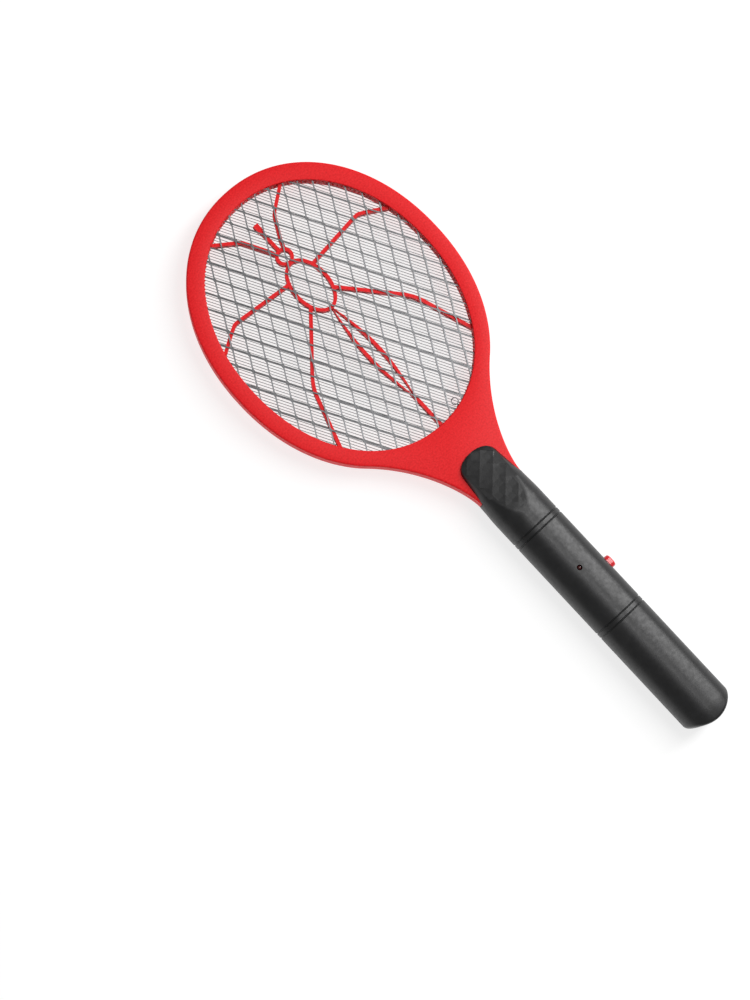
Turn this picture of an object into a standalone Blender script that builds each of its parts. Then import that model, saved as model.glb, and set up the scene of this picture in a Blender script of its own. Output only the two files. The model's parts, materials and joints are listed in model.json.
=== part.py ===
"""Battery-powered electric fly swatter, in metres, +Z up.

The racket lies on its back with its front face up. Its long axis is Y, the head is at +Y and the
butt of the handle at -Y. The origin is under the middle of its overall length, on the surface that
the back of the handle lies on. Shapes are modelled about the middle plane of the racket, and one
empty lifts them all to their height.
"""

from math import cos, pi, radians, sin, sqrt

import bmesh
import bpy
from mathutils import Vector
from mathutils.geometry import delaunay_2d_cdt

MM = 0.001

# ---------------------------------------------------------------- fits
GAP = 0.3 * MM                    # air between pieces that touch
SLIP = 0.5 * MM                   # all-round clearance of a piece that slides or drops in

# ---------------------------------------------------------------- head
OPENING_WIDTH = 143.6 * MM        # clear opening of the frame
OPENING_LENGTH = 184.0 * MM
OPENING_POWER = 2.08              # opening and outer edge are slightly fuller than ellipses
RIM_SIDE = 10.5 * MM              # rim beside, above and below the opening
RIM_TOP = 11.2 * MM
RIM_BOTTOM = 8.8 * MM
OUTLINE_POWER = 2.1
RIM_SIDES = 48
LAYER_SIDES = 32                  # the edges of the layers, which the flange hides

FRAME_WALL = 2.2 * MM             # outer wall of each frame half
FLANGE = 2.0 * MM                 # face of the frame, in front of the grid's border
GRID_THICKNESS = 0.5 * MM         # expanded metal
WIRE_THICKNESS = 0.4 * MM         # high-voltage grid
SPACER_THICKNESS = 2.4 * MM
BORDER = 3.0 * MM                 # how far the layers reach under the flange
POCKET_PLAY = 0.6 * MM            # round the layers, in the frame's pocket
POCKET_WALL = 1.8 * MM            # outside that play
HOLLOW_TO = 0.62                  # the rim is hollow down to this share of the opening's half-length
GRID_MARGIN = 0.9 * MM            # unbroken edge of the grids, inside the opening's reach
TERMINAL_RECESS = (5.2 * MM, 8.0 * MM, 6.0 * MM)
TERMINAL_SIZE = (2.2 * MM, 3.8 * MM, 1.5 * MM)
TERMINAL_BELOW = 5.6 * MM         # its middle below the opening
TAB_WIDTH = 3.0 * MM              # tab of the middle grid, under the terminal
TAB_END = 8.0 * MM

CELL_WIDTH = 10.5 * MM            # diamonds of the expanded metal
CELL_LENGTH = 19.3 * MM
STRAND = 1.1 * MM
LEAST_HOLE = 22.0 * MM * MM       # clipped diamonds smaller than this are left closed
WIRE_PITCH = 2.5 * MM
WIRE_WIDTH = 0.5 * MM
WIRE_ANGLE = radians(119)
LEAST_SLOT = 12.0 * MM

# ---------------------------------------------------------------- ribs, shaped like a mosquito
# Points are shares of the opening's half-width and half-length.
RIB_WIDTH = 2.2 * MM
HEAD_CENTRE = (0.0, 0.541)
HEAD_RADIUS = 4.7 * MM
BODY_HALF_WIDTH = 11.2 * MM
BODY_HALF_LENGTH = 18.5 * MM
BODY_BELOW_HEAD = 0.8 * MM        # between their middle lines
PROBOSCIS_TOP = (0.0, 0.828)
PROBOSCIS_TIP = ((0.0, 0.774), (0.0, 0.831))
PROBOSCIS_TIP_WIDTH = 3.4 * MM
ANTENNA_FOOT = (0.76, 0.98)       # on the head, as shares of its radius
ANTENNA = ((0.075, 0.643), (0.188, 0.803), (0.383, 0.913))
UPPER_LEG_FOOT = (0.89, 0.50)     # on the body, as shares of its half sizes
UPPER_LEG = ((0.710, 0.428), (0.807, 0.388), (0.933, 0.328))
LOWER_LEG_FOOT = (0.89, -0.565)
LOWER_LEG = ((0.592, -0.234), (0.766, -0.645))
TAIL_IN_BODY = 0.6 * MM           # tail's tip above the body's lowest point
TAIL_END = (0.0, -0.749)
TAIL_HALF_WIDTH = 4.3 * MM
RIB_END = 1.8 * MM                # how far a rib runs on into the ring

# ---------------------------------------------------------------- neck
NECK_LENGTH = 52.8 * MM           # opening's lower edge to the shoulder of the handle
NECK_WIDTH = 32.6 * MM            # at the shoulder
NECK_LEAVES = radians(53)         # where the neck's curve leaves the rim, below the widest line
NECK_PULL_RIM = 35.6 * MM         # handles of the neck's curve
NECK_PULL_SHOULDER = 9.0 * MM
STUB_WIDTH = 25.2 * MM            # inside the handle
STUB_LENGTH = 26.5 * MM

# ---------------------------------------------------------------- handle
HANDLE_DEPTH = 30.0 * MM
HANDLE_FLAT = 10.0 * MM           # width of the flat strip along the front and the back
HANDLE_POWER = 2.25               # roundness beside the flat strip
WALL = 2.0 * MM
TONGUE_LENGTH = 28.0 * MM         # over the neck, above the shoulder
TONGUE_FOOT = 33.0 * MM           # its width at the shoulder
TONGUE_WIDTH = 27.2 * MM          # at its upper end, before the tip is rounded
TIP_LENGTH = 9.0 * MM
TIP_POWER = 2.3
TIP_END = 0.98                    # share of the tip's length that is built, so that it ends in a short edge
FLARE_LENGTH = 6.0 * MM           # foot of the tongue to the shoulder
TONGUE_RISE = 8.2 * MM            # middle plane to the tongue's face, at its upper end
SHOULDER_WIDTH = 33.8 * MM
PANEL_LENGTH = 45.8 * MM          # the sloping flat, from the tongue's top
TAPER_LENGTH = 16.0 * MM          # shoulder to full width
UPPER_SPARE = 7.0 * MM            # stub's end to the upper ring
BUTT_BULGE = 8.0 * MM             # how far the middle of the butt stands out
BUTT_WALL = 2.5 * MM
RING_SPACING = 3.6 * MM           # each ring is a pair of grooves
RING_WIDTH = 1.2 * MM
RING_DEPTH = 0.6 * MM
SECTION_STEPS = 12                # facets round half a section, an even number

# ---------------------------------------------------------------- battery bay
CELL_DIAMETER = 14.2 * MM         # AA cell
CELL_BODY = 49.2 * MM
CELL_NUB = 1.3 * MM
CELL_NUB_DIAMETER = 5.5 * MM
CELL_GAP = 0.6 * MM               # between the two cells
CELL_PLAY = 1.0 * MM              # between a cell and the handle's wall
SPRING_LENGTH = 5.0 * MM
SPRING_TURNS = 3
SPRING_RADIUS = 4.2 * MM          # at its foot
SPRING_NARROWS = 1.9 * MM
SPRING_WIRE = 0.8 * MM
CONTACT = 0.5 * MM                # sheet of the contacts
CONTACT_HEIGHT = 12.0 * MM
CONTACT_WIDTH = 11.0 * MM
BULKHEAD = 1.5 * MM
BULKHEAD_DROP = 8.0 * MM          # how far it reaches below the middle plane
BUTT_SPACE = 14.0 * MM            # butt's tip to the lower contact
BAY_TOP_SPACE = 11.5 * MM         # bulkhead to the lower ring

# ---------------------------------------------------------------- battery cover
LIP_LENGTH = 2.2 * MM
LIP_ROOT = 4.0 * MM
LIP_THICKNESS = 1.3 * MM
LIP_HALF_ARC = radians(32)        # of the cover's section, either side of its bottom
GRIP_FROM_BUTT = 16.3 * MM
GRIP_LENGTH = 8.3 * MM
GRIP_WIDTH = 13.0 * MM
GRIP_DEPTH = 1.2 * MM
GRIP_RIDGE = 1.0 * MM
RIDGE_LOWER = 0.2 * MM            # the ridges stay this much below the face
COVER_SCREW_LENGTH = 8.0 * MM
POST_FROM_BUTT = 9.0 * MM
POST_WIDTH = 7.0 * MM

# ---------------------------------------------------------------- screws
SCREW_SHANK = 2.6 * MM            # diameters
SCREW_HEAD = 5.0 * MM
SCREW_HEAD_HEIGHT = 1.3 * MM
SCREW_LENGTH = 12.0 * MM
CROSS_RECESS = (0.7 * MM, 3.0 * MM)
SCREW_SEAT = 1.5 * MM             # tongue between a screw's head and the neck
SHELL_SEAT = 10.5 * MM            # middle plane to the heads in the round part
BOSS_DIAMETER = 6.0 * MM
BOSS_SKIN = 0.8 * MM              # tongue's face beyond the end of a boss
BOSS_MEETS = 5.7 * MM             # where the bosses of the two shells meet, below the middle plane
SCREW_TOP_FROM_TONGUE = 7.8 * MM
SCREW_PAIR_FROM_TONGUE = 24.4 * MM
SCREW_PAIR_SPACING = 12.4 * MM
SCREW_ABOVE_RING = 6.0 * MM

# ---------------------------------------------------------------- button and switch
BUTTON_LENGTH = 8.2 * MM
BUTTON_HEIGHT = 7.0 * MM
BUTTON_PROUD = 3.0 * MM
BUTTON_CORNER = 2.6 * MM
BUTTON_FLANGE = 1.3 * MM
BUTTON_EDGE = 0.9 * MM            # rounding round its face
FLANGE_SPREAD = 1.35              # the flange behind the wall, as a share of the button
BUTTON_TRAVEL = 1.6 * MM
SWITCH_SIZE = (5.6 * MM, 8.0 * MM, 8.2 * MM)
SWITCH_BACK = 1.2 * MM            # floor of the plunger's hole
PLUNGER_DIAMETER = 2.4 * MM

# ---------------------------------------------------------------- electronics
BOARD_WIDTH = 23.4 * MM
BOARD_LENGTH = 56.0 * MM
BOARD_THICKNESS = 1.6 * MM
BOARD_ABOVE_RING = 12.0 * MM
BOARD_BELOW_RING = 5.8 * MM
RAIL_SPACING = 17.0 * MM          # ribs that the board lies on
RAIL_WIDTH = 2.0 * MM
RAIL_END = 2.0 * MM
TRANSFORMER_CORE = 13.0 * MM
TRANSFORMER_LEG = 3.6 * MM
TRANSFORMER_WINDOW = (3.0 * MM, 8.6 * MM)
TRANSFORMER_THICKNESS = 5.0 * MM
WOUND = 2.7 * MM                  # thickness of the winding over the leg
TRANSFORMER_AT = (-3.0 * MM, 9.0 * MM)        # places are measured from the board's upper end
HV_CAPACITOR_AT = (8.4 * MM, 9.0 * MM)
HV_CAPACITOR_SIZE = (5.4 * MM, 13.0 * MM, 11.0 * MM)
STORAGE_CAPACITOR_AT = (-8.4 * MM, 24.5 * MM)
STORAGE_CAPACITOR_SIZE = (5.0 * MM, 10.0 * MM, 9.0 * MM)
DIODE_XS = (3.2 * MM, 6.4 * MM, 9.6 * MM)
DIODE_FROM_TOP = 23.0 * MM
DIODE_SIZE = (2.6 * MM, 5.0 * MM)             # diameter and length
RESISTOR_XS = (-2.6 * MM, 1.0 * MM)
RESISTOR_FROM_TOP = 44.0 * MM
RESISTOR_SIZE = (2.3 * MM, 6.2 * MM)
AXIAL_LEG = 2.2 * MM
TRANSISTOR_AT = (-8.0 * MM, 37.0 * MM)
TRANSISTOR_RADIUS = 2.3 * MM
TRANSISTOR_LOW = 4.0 * MM
TRANSISTOR_TOP = 8.6 * MM
TRANSISTOR_PITCH = 1.27 * MM
BOARD_HOLE = 2.4 * MM
BOARD_HOLE_INSET = (2.5 * MM, 3.5 * MM)
LED_ABOVE_BOARD_END = 27.0 * MM
BUTTON_ABOVE_BOARD_END = 17.1 * MM
LED_DIAMETER = 3.0 * MM
LED_BELOW_FACE = 0.4 * MM
LED_HEIGHT = 5.0 * MM
LED_RIM = 0.4 * MM
LEAD_PITCH = 2.54 * MM
LEAD_WIDTH = 0.5 * MM
WIRE_LEAD = 1.4 * MM              # insulated leads
BATTERY_LEAD_X = 9.0 * MM
BATTERY_LEAD_ON_BOARD = 6.5 * MM
EYELET_CENTRE = (15.7 * MM, 5.2 * MM)   # from the lowest point of the opening
EYELET_RADIUS = 2.1 * MM
EYELET_WIRE = 0.7 * MM
TERMINAL_X = -6.5 * MM

# ---------------------------------------------------------------- worked out
BOSS_HOLE = BOSS_DIAMETER / 2 + GAP
CHANNEL = 1.15 * (WIRE_LEAD / 2 + GAP)      # a six-sided channel round a lead, corner to middle
LAYERS_HALF = WIRE_THICKNESS / 2 + SPACER_THICKNESS + GRID_THICKNESS + 3 * GAP
FRAME_HALF = LAYERS_HALF + FLANGE
SPACER_LOW = WIRE_THICKNESS / 2 + GAP
GRID_LOW = SPACER_LOW + SPACER_THICKNESS + GAP

CELL_LENGTH_AA = CELL_BODY + CELL_NUB
CELL_SPACING = CELL_DIAMETER + CELL_GAP
HANDLE_WIDTH = CELL_SPACING + CELL_DIAMETER + 2 * (CELL_PLAY + WALL)
BAY_LENGTH = CELL_LENGTH_AA + SPRING_LENGTH + 3 * GAP
COVER_LENGTH = BUTT_SPACE + 2 * CONTACT + BAY_LENGTH + GAP + BULKHEAD + BAY_TOP_SPACE
MIDDLE_LENGTH = BOARD_ABOVE_RING + BOARD_LENGTH + BOARD_BELOW_RING
UPPER_LENGTH = STUB_LENGTH + UPPER_SPARE
OVERALL_LENGTH = RIM_TOP + OPENING_LENGTH + NECK_LENGTH + UPPER_LENGTH + MIDDLE_LENGTH + COVER_LENGTH

BUTT_Y = -OVERALL_LENGTH / 2
LOWER_RING_Y = BUTT_Y + COVER_LENGTH
UPPER_RING_Y = LOWER_RING_Y + MIDDLE_LENGTH
SHOULDER_Y = UPPER_RING_Y + UPPER_LENGTH
TONGUE_Y = SHOULDER_Y + TONGUE_LENGTH
PANEL_END_Y = TONGUE_Y - PANEL_LENGTH
OPENING_LOW_Y = SHOULDER_Y + NECK_LENGTH
OPENING_Y = OPENING_LOW_Y + OPENING_LENGTH / 2
HALF_DEPTH = HANDLE_DEPTH / 2

LOWER_CONTACT_Y = BUTT_Y + BUTT_SPACE
UPPER_CONTACT_Y = LOWER_CONTACT_Y + CONTACT + BAY_LENGTH
BULKHEAD_Y = UPPER_CONTACT_Y + CONTACT + GAP
BOARD_Y = LOWER_RING_Y + BOARD_ABOVE_RING
BUTTON_Y = BOARD_Y + BUTTON_ABOVE_BOARD_END
LED_Y = BOARD_Y + LED_ABOVE_BOARD_END
BOARD_TOP = -SWITCH_SIZE[2] / 2 - GAP
PARTS_LOW = BOARD_TOP + GAP
POST_Y = BUTT_Y + POST_FROM_BUTT
HANDLE_SCREW_Y = LOWER_RING_Y + SCREW_ABOVE_RING
TONGUE_SCREWS = {
    "tongue_screw_top": (0.0, TONGUE_Y - SCREW_TOP_FROM_TONGUE),
    "tongue_screw_left": (-SCREW_PAIR_SPACING / 2, TONGUE_Y - SCREW_PAIR_FROM_TONGUE),
    "tongue_screw_right": (SCREW_PAIR_SPACING / 2, TONGUE_Y - SCREW_PAIR_FROM_TONGUE),
}
NECK_FACE = FRAME_HALF + GAP                 # inner face of both tongues
TONGUE_SEAT = NECK_FACE + SCREW_SEAT
EYELET_Z = GRID_LOW + GRID_THICKNESS + GAP + EYELET_WIRE / 2
FAR = 0.1                                    # reach of a cutter that only has to be long enough

# ---------------------------------------------------------------- finishes: colour, roughness, metallic
FINISHES = {
    "red_plastic": ((0.70, 0.022, 0.028), 0.45, 0.0),
    "black_plastic": ((0.016, 0.016, 0.017), 0.42, 0.0),
    "red_button": ((0.68, 0.02, 0.03), 0.30, 0.0),
    "steel": ((0.62, 0.63, 0.65), 0.30, 1.0),
    "black_steel": ((0.05, 0.05, 0.055), 0.35, 0.9),
    "lens": ((0.75, 0.10, 0.08), 0.12, 0.0),
    "board": ((0.05, 0.22, 0.10), 0.55, 0.0),
    "ferrite": ((0.05, 0.05, 0.055), 0.70, 0.0),
    "copper": ((0.72, 0.32, 0.16), 0.35, 0.8),
    "film": ((0.45, 0.10, 0.05), 0.35, 0.0),
    "component": ((0.03, 0.03, 0.03), 0.40, 0.0),
    "resistor": ((0.55, 0.42, 0.26), 0.50, 0.0),
    "cell": ((0.10, 0.22, 0.45), 0.35, 0.3),
    "red_lead": ((0.60, 0.03, 0.03), 0.50, 0.0),
    "black_lead": ((0.02, 0.02, 0.02), 0.50, 0.0),
}


# ================================================================ outlines in a plane
def ccw(points):
    """The same outline, running anticlockwise."""
    area = sum(a[0] * b[1] - b[0] * a[1] for a, b in zip(points, points[1:] + points[:1]))
    return list(points) if area > 0 else list(reversed(points))


def ellipse(centre, half_width, half_length, sides, power=2.0, start=0.0, sweep=2 * pi):
    """Points on a (super)ellipse; a full turn leaves out the repeated last point."""
    count = sides if sweep >= 2 * pi else sides + 1
    points = []
    for i in range(count):
        c = cos(start + sweep * i / sides)
        s = sin(start + sweep * i / sides)
        x = abs(c) ** (2 / power) * (1 if c >= 0 else -1)
        y = abs(s) ** (2 / power) * (1 if s >= 0 else -1)
        points.append((centre[0] + half_width * x, centre[1] + half_length * y))
    return points


def rectangle(low, high):
    return [(low[0], low[1]), (high[0], low[1]), (high[0], high[1]), (low[0], high[1])]


def rounded_rectangle(width, height, corner, steps=3):
    """A rounded rectangle about the origin."""
    points = []
    for quarter in range(4):
        sign_x = 1 if quarter in (0, 3) else -1
        sign_y = 1 if quarter in (0, 1) else -1
        centre = (sign_x * (width / 2 - corner), sign_y * (height / 2 - corner))
        points += ellipse(centre, corner, corner, steps, start=quarter * pi / 2, sweep=pi / 2)
    return points


def strip(points, width):
    """A band of even width along a broken line."""
    line = [Vector(p) for p in points]
    left, right = [], []
    for i, point in enumerate(line):
        before = (line[i] - line[i - 1]).normalized() if i else (line[1] - line[0]).normalized()
        after = (line[i + 1] - line[i]).normalized() if i + 1 < len(line) else before
        along = (before + after).normalized()
        side = Vector((-along.y, along.x)) * (width / 2 / max(along.dot(before), 0.5))
        left.append(tuple(point + side))
        right.append(tuple(point - side))
    return ccw(left + right[::-1])


def bezier(start, pull_start, pull_end, end, steps):
    """Points on a cubic curve, without its first point."""
    points = []
    for i in range(1, steps + 1):
        t = i / steps
        weights = ((1 - t) ** 3, 3 * t * (1 - t) ** 2, 3 * t * t * (1 - t), t ** 3)
        anchors = (start, pull_start, pull_end, end)
        points.append(tuple(sum(w * p[k] for w, p in zip(weights, anchors)) for k in (0, 1)))
    return points


def clip_to_convex(points, border):
    """The part of a polygon inside a convex anticlockwise border."""
    for a, b in zip(border, border[1:] + border[:1]):
        def inside(p):
            return (b[0] - a[0]) * (p[1] - a[1]) - (b[1] - a[1]) * (p[0] - a[0])
        kept = []
        for p, q in zip(points, points[1:] + points[:1]):
            side_p, side_q = inside(p), inside(q)
            if side_p >= 0:
                kept.append(p)
            if (side_p >= 0) != (side_q >= 0):
                t = side_p / (side_p - side_q)
                kept.append((p[0] + t * (q[0] - p[0]), p[1] + t * (q[1] - p[1])))
        points = kept
        if len(points) < 3:
            return []
    return without_short_sides(points)


def without_short_sides(points, least=0.25 * MM):
    kept = []
    for point in points:
        if not kept or (Vector(point) - Vector(kept[-1])).length > least:
            kept.append(point)
    if len(kept) > 2 and (Vector(kept[0]) - Vector(kept[-1])).length <= least:
        kept.pop()
    return kept


def area_of(points):
    return sum(a[0] * b[1] - b[0] * a[1] for a, b in zip(points, points[1:] + points[:1])) / 2


# ================================================================ solids
def new_object(name, mesh):
    obj = bpy.data.objects.new(name, mesh)
    bpy.context.scene.collection.objects.link(obj)
    return obj


def solid(name, vertices, faces):
    """An object from points and faces, with its faces turned outward."""
    mesh = bpy.data.meshes.new(name)
    mesh.from_pydata([tuple(v) for v in vertices], [], faces)
    shape = bmesh.new()
    shape.from_mesh(mesh)
    bmesh.ops.recalc_face_normals(shape, faces=shape.faces)
    shape.to_mesh(mesh)
    shape.free()
    return new_object(name, mesh)


def loft(name, rings):
    """A solid skinned over rings of equal length, closed by its first and last ring."""
    count = len(rings[0])
    vertices = [point for ring in rings for point in ring]
    faces = [list(range(count)), [len(vertices) - 1 - i for i in range(count)]]
    for k in range(len(rings) - 1):
        for i in range(count):
            j = (i + 1) % count
            faces.append([k * count + i, k * count + j, (k + 1) * count + j, (k + 1) * count + i])
    return solid(name, vertices, faces)


def prism(name, outline, low, high, axis="Z"):
    """An outline pushed along an axis: XY along Z, XZ along Y, YZ along X."""
    place = {"Z": lambda p, h: (p[0], p[1], h), "Y": lambda p, h: (p[0], h, p[1]),
             "X": lambda p, h: (h, p[0], p[1])}[axis]
    return loft(name, [[place(p, h) for p in outline] for h in (low, high)])


def block(name, low, high):
    return prism(name, rectangle(low, high), low[2], high[2])


def cylinder(name, centre, radius, low, high, axis="Z", sides=8):
    return prism(name, ellipse(centre, radius, radius, sides, start=pi / sides), low, high, axis)


def turned(name, profile, sides=16, axis="Z"):
    """A solid of revolution: (radius, height) pairs from one end to the other."""
    rings = []
    for radius, height in profile:
        circle = ellipse((0, 0), radius, radius, sides, start=pi / sides)
        rings.append([(p[0], p[1], height) if axis == "Z" else (p[0], height, p[1]) for p in circle])
    return loft(name, rings)


def plate(name, layers, low, high):
    """A flat solid from outlines painted in order, each adding or removing its area."""
    points, faces, adds = [], [], []
    for outline, added in layers:
        faces.append(list(range(len(points), len(points) + len(outline))))
        points += [Vector(p) for p in ccw(outline)]
        adds.append(added)
    found = delaunay_2d_cdt(points, [], faces, 1, 1e-7)
    corners, triangles, sources = found[0], found[2], found[5]
    kept = [t for t, source in zip(triangles, sources) if source and adds[max(source)]]
    used = sorted({i for t in kept for i in t})
    number = {old: new for new, old in enumerate(used)}
    kept = [[number[i] for i in t] for t in kept]
    vertices = [(*corners[i], h) for h in (low, high) for i in used]
    count = len(used)
    faces = [t[::-1] for t in kept] + [[i + count for i in t] for t in kept]
    edges = {(t[k], t[(k + 1) % 3]) for t in kept for k in range(3)}
    faces += [[a, b, b + count, a + count] for a, b in sorted(edges) if (b, a) not in edges]
    return solid(name, vertices, faces)


def tube(name, route, radius, sides=6):
    """A round lead along a smooth route."""
    data = bpy.data.curves.new(name, "CURVE")
    data.dimensions = "3D"
    data.bevel_depth = radius
    data.bevel_resolution = (sides - 4) // 2
    data.use_fill_caps = True
    line = data.splines.new("POLY")
    line.points.add(len(route) - 1)
    for target, point in zip(line.points, route):
        target.co = (*point, 1.0)
    curve = new_object(name + "_route", data)
    mesh = bpy.data.meshes.new_from_object(curve.evaluated_get(bpy.context.evaluated_depsgraph_get()))
    bpy.data.objects.remove(curve)
    shape = bmesh.new()
    shape.from_mesh(mesh)
    bmesh.ops.remove_doubles(shape, verts=shape.verts, dist=1e-6)
    bmesh.ops.recalc_face_normals(shape, faces=shape.faces)
    shape.to_mesh(mesh)
    shape.free()
    return new_object(name, mesh)


def smooth_route(points, steps=2):
    """A Catmull-Rom curve through the route's points."""
    line = [Vector(p) for p in points]
    line = [2 * line[0] - line[1]] + line + [2 * line[-1] - line[-2]]
    route = []
    for a, b, c, d in zip(line, line[1:], line[2:], line[3:]):
        for i in range(steps):
            t = i / steps
            route.append(0.5 * (2 * b + (c - a) * t + (2 * a - 5 * b + 4 * c - d) * t * t
                                + (3 * b - a - 3 * c + d) * t ** 3))
    route.append(line[-2])
    return route


def combine(target, tool, operation):
    """Joins a tool to a solid or cuts the solid with it, and removes the tool."""
    modifier = target.modifiers.new("step", "BOOLEAN")
    modifier.operation = operation
    modifier.solver = "EXACT"
    modifier.object = tool
    graph = bpy.context.evaluated_depsgraph_get()
    result = bpy.data.meshes.new_from_object(target.evaluated_get(graph))
    target.modifiers.clear()
    target.data = result
    bpy.data.objects.remove(tool)


def cut(target, tool):
    combine(target, tool, "DIFFERENCE")


def join(target, tool):
    combine(target, tool, "UNION")


def paint(obj, finish):
    """Gives a finished piece its own material and its smooth or sharp edges."""
    colour, roughness, metallic = FINISHES[finish]
    material = bpy.data.materials.new(obj.name + "_" + finish)
    material.use_nodes = True
    shader = material.node_tree.nodes["Principled BSDF"]
    shader.inputs["Base Color"].default_value = (*colour, 1.0)
    shader.inputs["Roughness"].default_value = roughness
    shader.inputs["Metallic"].default_value = metallic
    obj.data.materials.clear()
    obj.data.materials.append(material)
    obj.data.shade_smooth()
    obj.data.set_sharp_from_angle(angle=radians(35))
    return obj


def copy_of(obj, name, location, finish):
    """Another piece of the same shape."""
    twin = new_object(name, obj.data.copy())
    twin.location = location
    return paint(twin, finish)


# ================================================================ head
def opening(grow=0.0, sides=RIM_SIDES):
    half_width, half_length = OPENING_WIDTH / 2 + grow, OPENING_LENGTH / 2 + grow
    return ellipse((0.0, OPENING_Y), half_width, half_length, sides, OPENING_POWER)


def rim_outline(inset=0.0, start=0.0, sweep=2 * pi, sides=RIM_SIDES):
    """The outer edge of the head, without the neck."""
    half_length = (OPENING_LENGTH + RIM_TOP + RIM_BOTTOM) / 2
    centre = (0.0, OPENING_Y + (RIM_TOP - RIM_BOTTOM) / 2)
    return ellipse(centre, OPENING_WIDTH / 2 + RIM_SIDE - inset, half_length - inset, sides,
                   OUTLINE_POWER, start, sweep)


def frame_outline():
    """Head and neck down to the end of the stub that the handle holds."""
    steps = RIM_SIDES * 3 // 4
    rim = rim_outline(start=-NECK_LEAVES, sweep=pi + 2 * NECK_LEAVES, sides=steps)
    leaving = (Vector(rim[0]) - Vector(rim[1])).normalized() * NECK_PULL_RIM
    corner = (NECK_WIDTH / 2, SHOULDER_Y)
    pull_rim = (rim[0][0] + leaving.x, rim[0][1] + leaving.y)
    pull_corner = (corner[0], corner[1] + NECK_PULL_SHOULDER)
    right = bezier(rim[0], pull_rim, pull_corner, corner, 12)
    right += [(STUB_WIDTH / 2, SHOULDER_Y), (STUB_WIDTH / 2, SHOULDER_Y - STUB_LENGTH)]
    left = [(-x, y) for x, y in right]
    return ccw(rim + left + right[::-1])


def lead_route(side):
    """From the board up the neck, between the screw bosses and beside the upper one."""
    beside = BOSS_HOLE + WIRE_LEAD / 2 + SLIP
    between = (SCREW_PAIR_SPACING / 2 - BOSS_HOLE) / 2 + 0.2 * MM
    board_x = BOARD_WIDTH / 2 - 1.5 * MM
    top_y = TONGUE_Y - SCREW_TOP_FROM_TONGUE
    pair_y = TONGUE_Y - SCREW_PAIR_FROM_TONGUE
    stub_y = SHOULDER_Y - STUB_LENGTH
    on_board = PARTS_LOW + WIRE_LEAD / 2
    return [(side * board_x, BOARD_Y + BOARD_LENGTH - 2 * MM, on_board),
            (side * board_x * 0.9, BOARD_Y + BOARD_LENGTH + 3 * MM, on_board * 0.9),
            (side * between * 2.2, stub_y - 2 * MM, on_board * 0.3),
            (side * between, stub_y + 3 * MM, 0.0),
            (side * between, pair_y - 4 * MM, 0.0),
            (side * between, pair_y + 4 * MM, 0.0),
            (side * beside, top_y - 3 * MM, 0.0),
            (side * beside, top_y + 4 * MM, 0.0)]


def hv_route():
    end = OPENING_LOW_Y - 8 * MM
    return smooth_route(lead_route(-1) + [(TERMINAL_X, end - 5 * MM, 0.0), (TERMINAL_X, end - GAP, 0.0)])


def ground_route():
    """Ends at the eyelet, in front of the front grid."""
    x = EYELET_CENTRE[0]
    riser = OPENING_LOW_Y - BORDER - 1.6 * MM
    height = GRID_LOW + GRID_THICKNESS + GAP + WIRE_LEAD / 2
    eyelet_low = OPENING_LOW_Y + EYELET_CENTRE[1] - EYELET_RADIUS - EYELET_WIRE / 2
    return smooth_route(lead_route(1)
                        + [(x * 0.7, riser - 7 * MM, 0.0), (x * 0.96, riser - 2.5 * MM, height * 0.25),
                           (x, riser, height * 0.75), (x, riser + 2.5 * MM, height),
                           (x, eyelet_low - GAP, height)])


def frame_half(name, side):
    """Front (side 1) or rear (side -1) half of the red frame."""
    low, high = sorted((side * GAP / 2, side * FRAME_HALF))
    pocket_end = side * LAYERS_HALF
    obj = plate(name, [(frame_outline(), True), (opening(), False)], low, high)
    cut(obj, prism("pocket", opening(BORDER + POCKET_PLAY), *sorted((-side * MM, pocket_end))))
    hollow = prism("hollow", rim_outline(FRAME_WALL), *sorted((-side * MM, pocket_end)))
    cut(hollow, prism("pocket_wall", opening(BORDER + POCKET_PLAY + POCKET_WALL), -FAR, FAR))
    neck_block_y = OPENING_Y - HOLLOW_TO * OPENING_LENGTH / 2
    cut(hollow, block("solid_neck", (-FAR, BUTT_Y, -FAR), (FAR, neck_block_y, FAR)))
    cut(obj, hollow)
    for x, y in TONGUE_SCREWS.values():
        cut(obj, cylinder("boss_hole", (x, y), BOSS_HOLE, -FAR, FAR))
    cut(obj, tube("hv_channel", extended(hv_route()), CHANNEL))
    cut(obj, tube("ground_channel", extended(ground_route()), CHANNEL))
    width, length, height = TERMINAL_RECESS
    recess_y = OPENING_LOW_Y - MM - length
    cut(obj, block("terminal_recess", (TERMINAL_X - width / 2, recess_y, -height / 2),
                   (TERMINAL_X + width / 2, recess_y + length, height / 2)))
    return paint(obj, "red_plastic")


def extended(route):
    """The same route, run on at both ends, for a cutter."""
    first = route[0] + (route[0] - route[1]).normalized() * 4 * MM
    last = route[-1] + (route[-1] - route[-2]).normalized() * 4 * MM
    return [first] + route + [last]


def diamonds():
    """Openings of the expanded metal, cut off at the border."""
    border = opening(GRID_MARGIN, LAYER_SIDES)
    slope = CELL_LENGTH / CELL_WIDTH
    shrink_x = STRAND / 2 * sqrt(1 + slope * slope) / slope
    half_x = CELL_WIDTH / 2 - shrink_x
    half_y = half_x * slope
    across = int(OPENING_WIDTH / CELL_WIDTH) + 2
    along = int(OPENING_LENGTH / CELL_LENGTH) + 2
    holes = []
    for row in range(-along, along + 1):
        for column in range(-across, across + 1):
            if (row + column) % 2:
                continue
            x = column * CELL_WIDTH / 2
            y = OPENING_Y + row * CELL_LENGTH / 2
            corners = [(x + half_x, y), (x, y + half_y), (x - half_x, y), (x, y - half_y)]
            hole = clip_to_convex(corners, border)
            if hole and area_of(hole) > LEAST_HOLE:
                holes.append(hole)
    return holes


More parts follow.
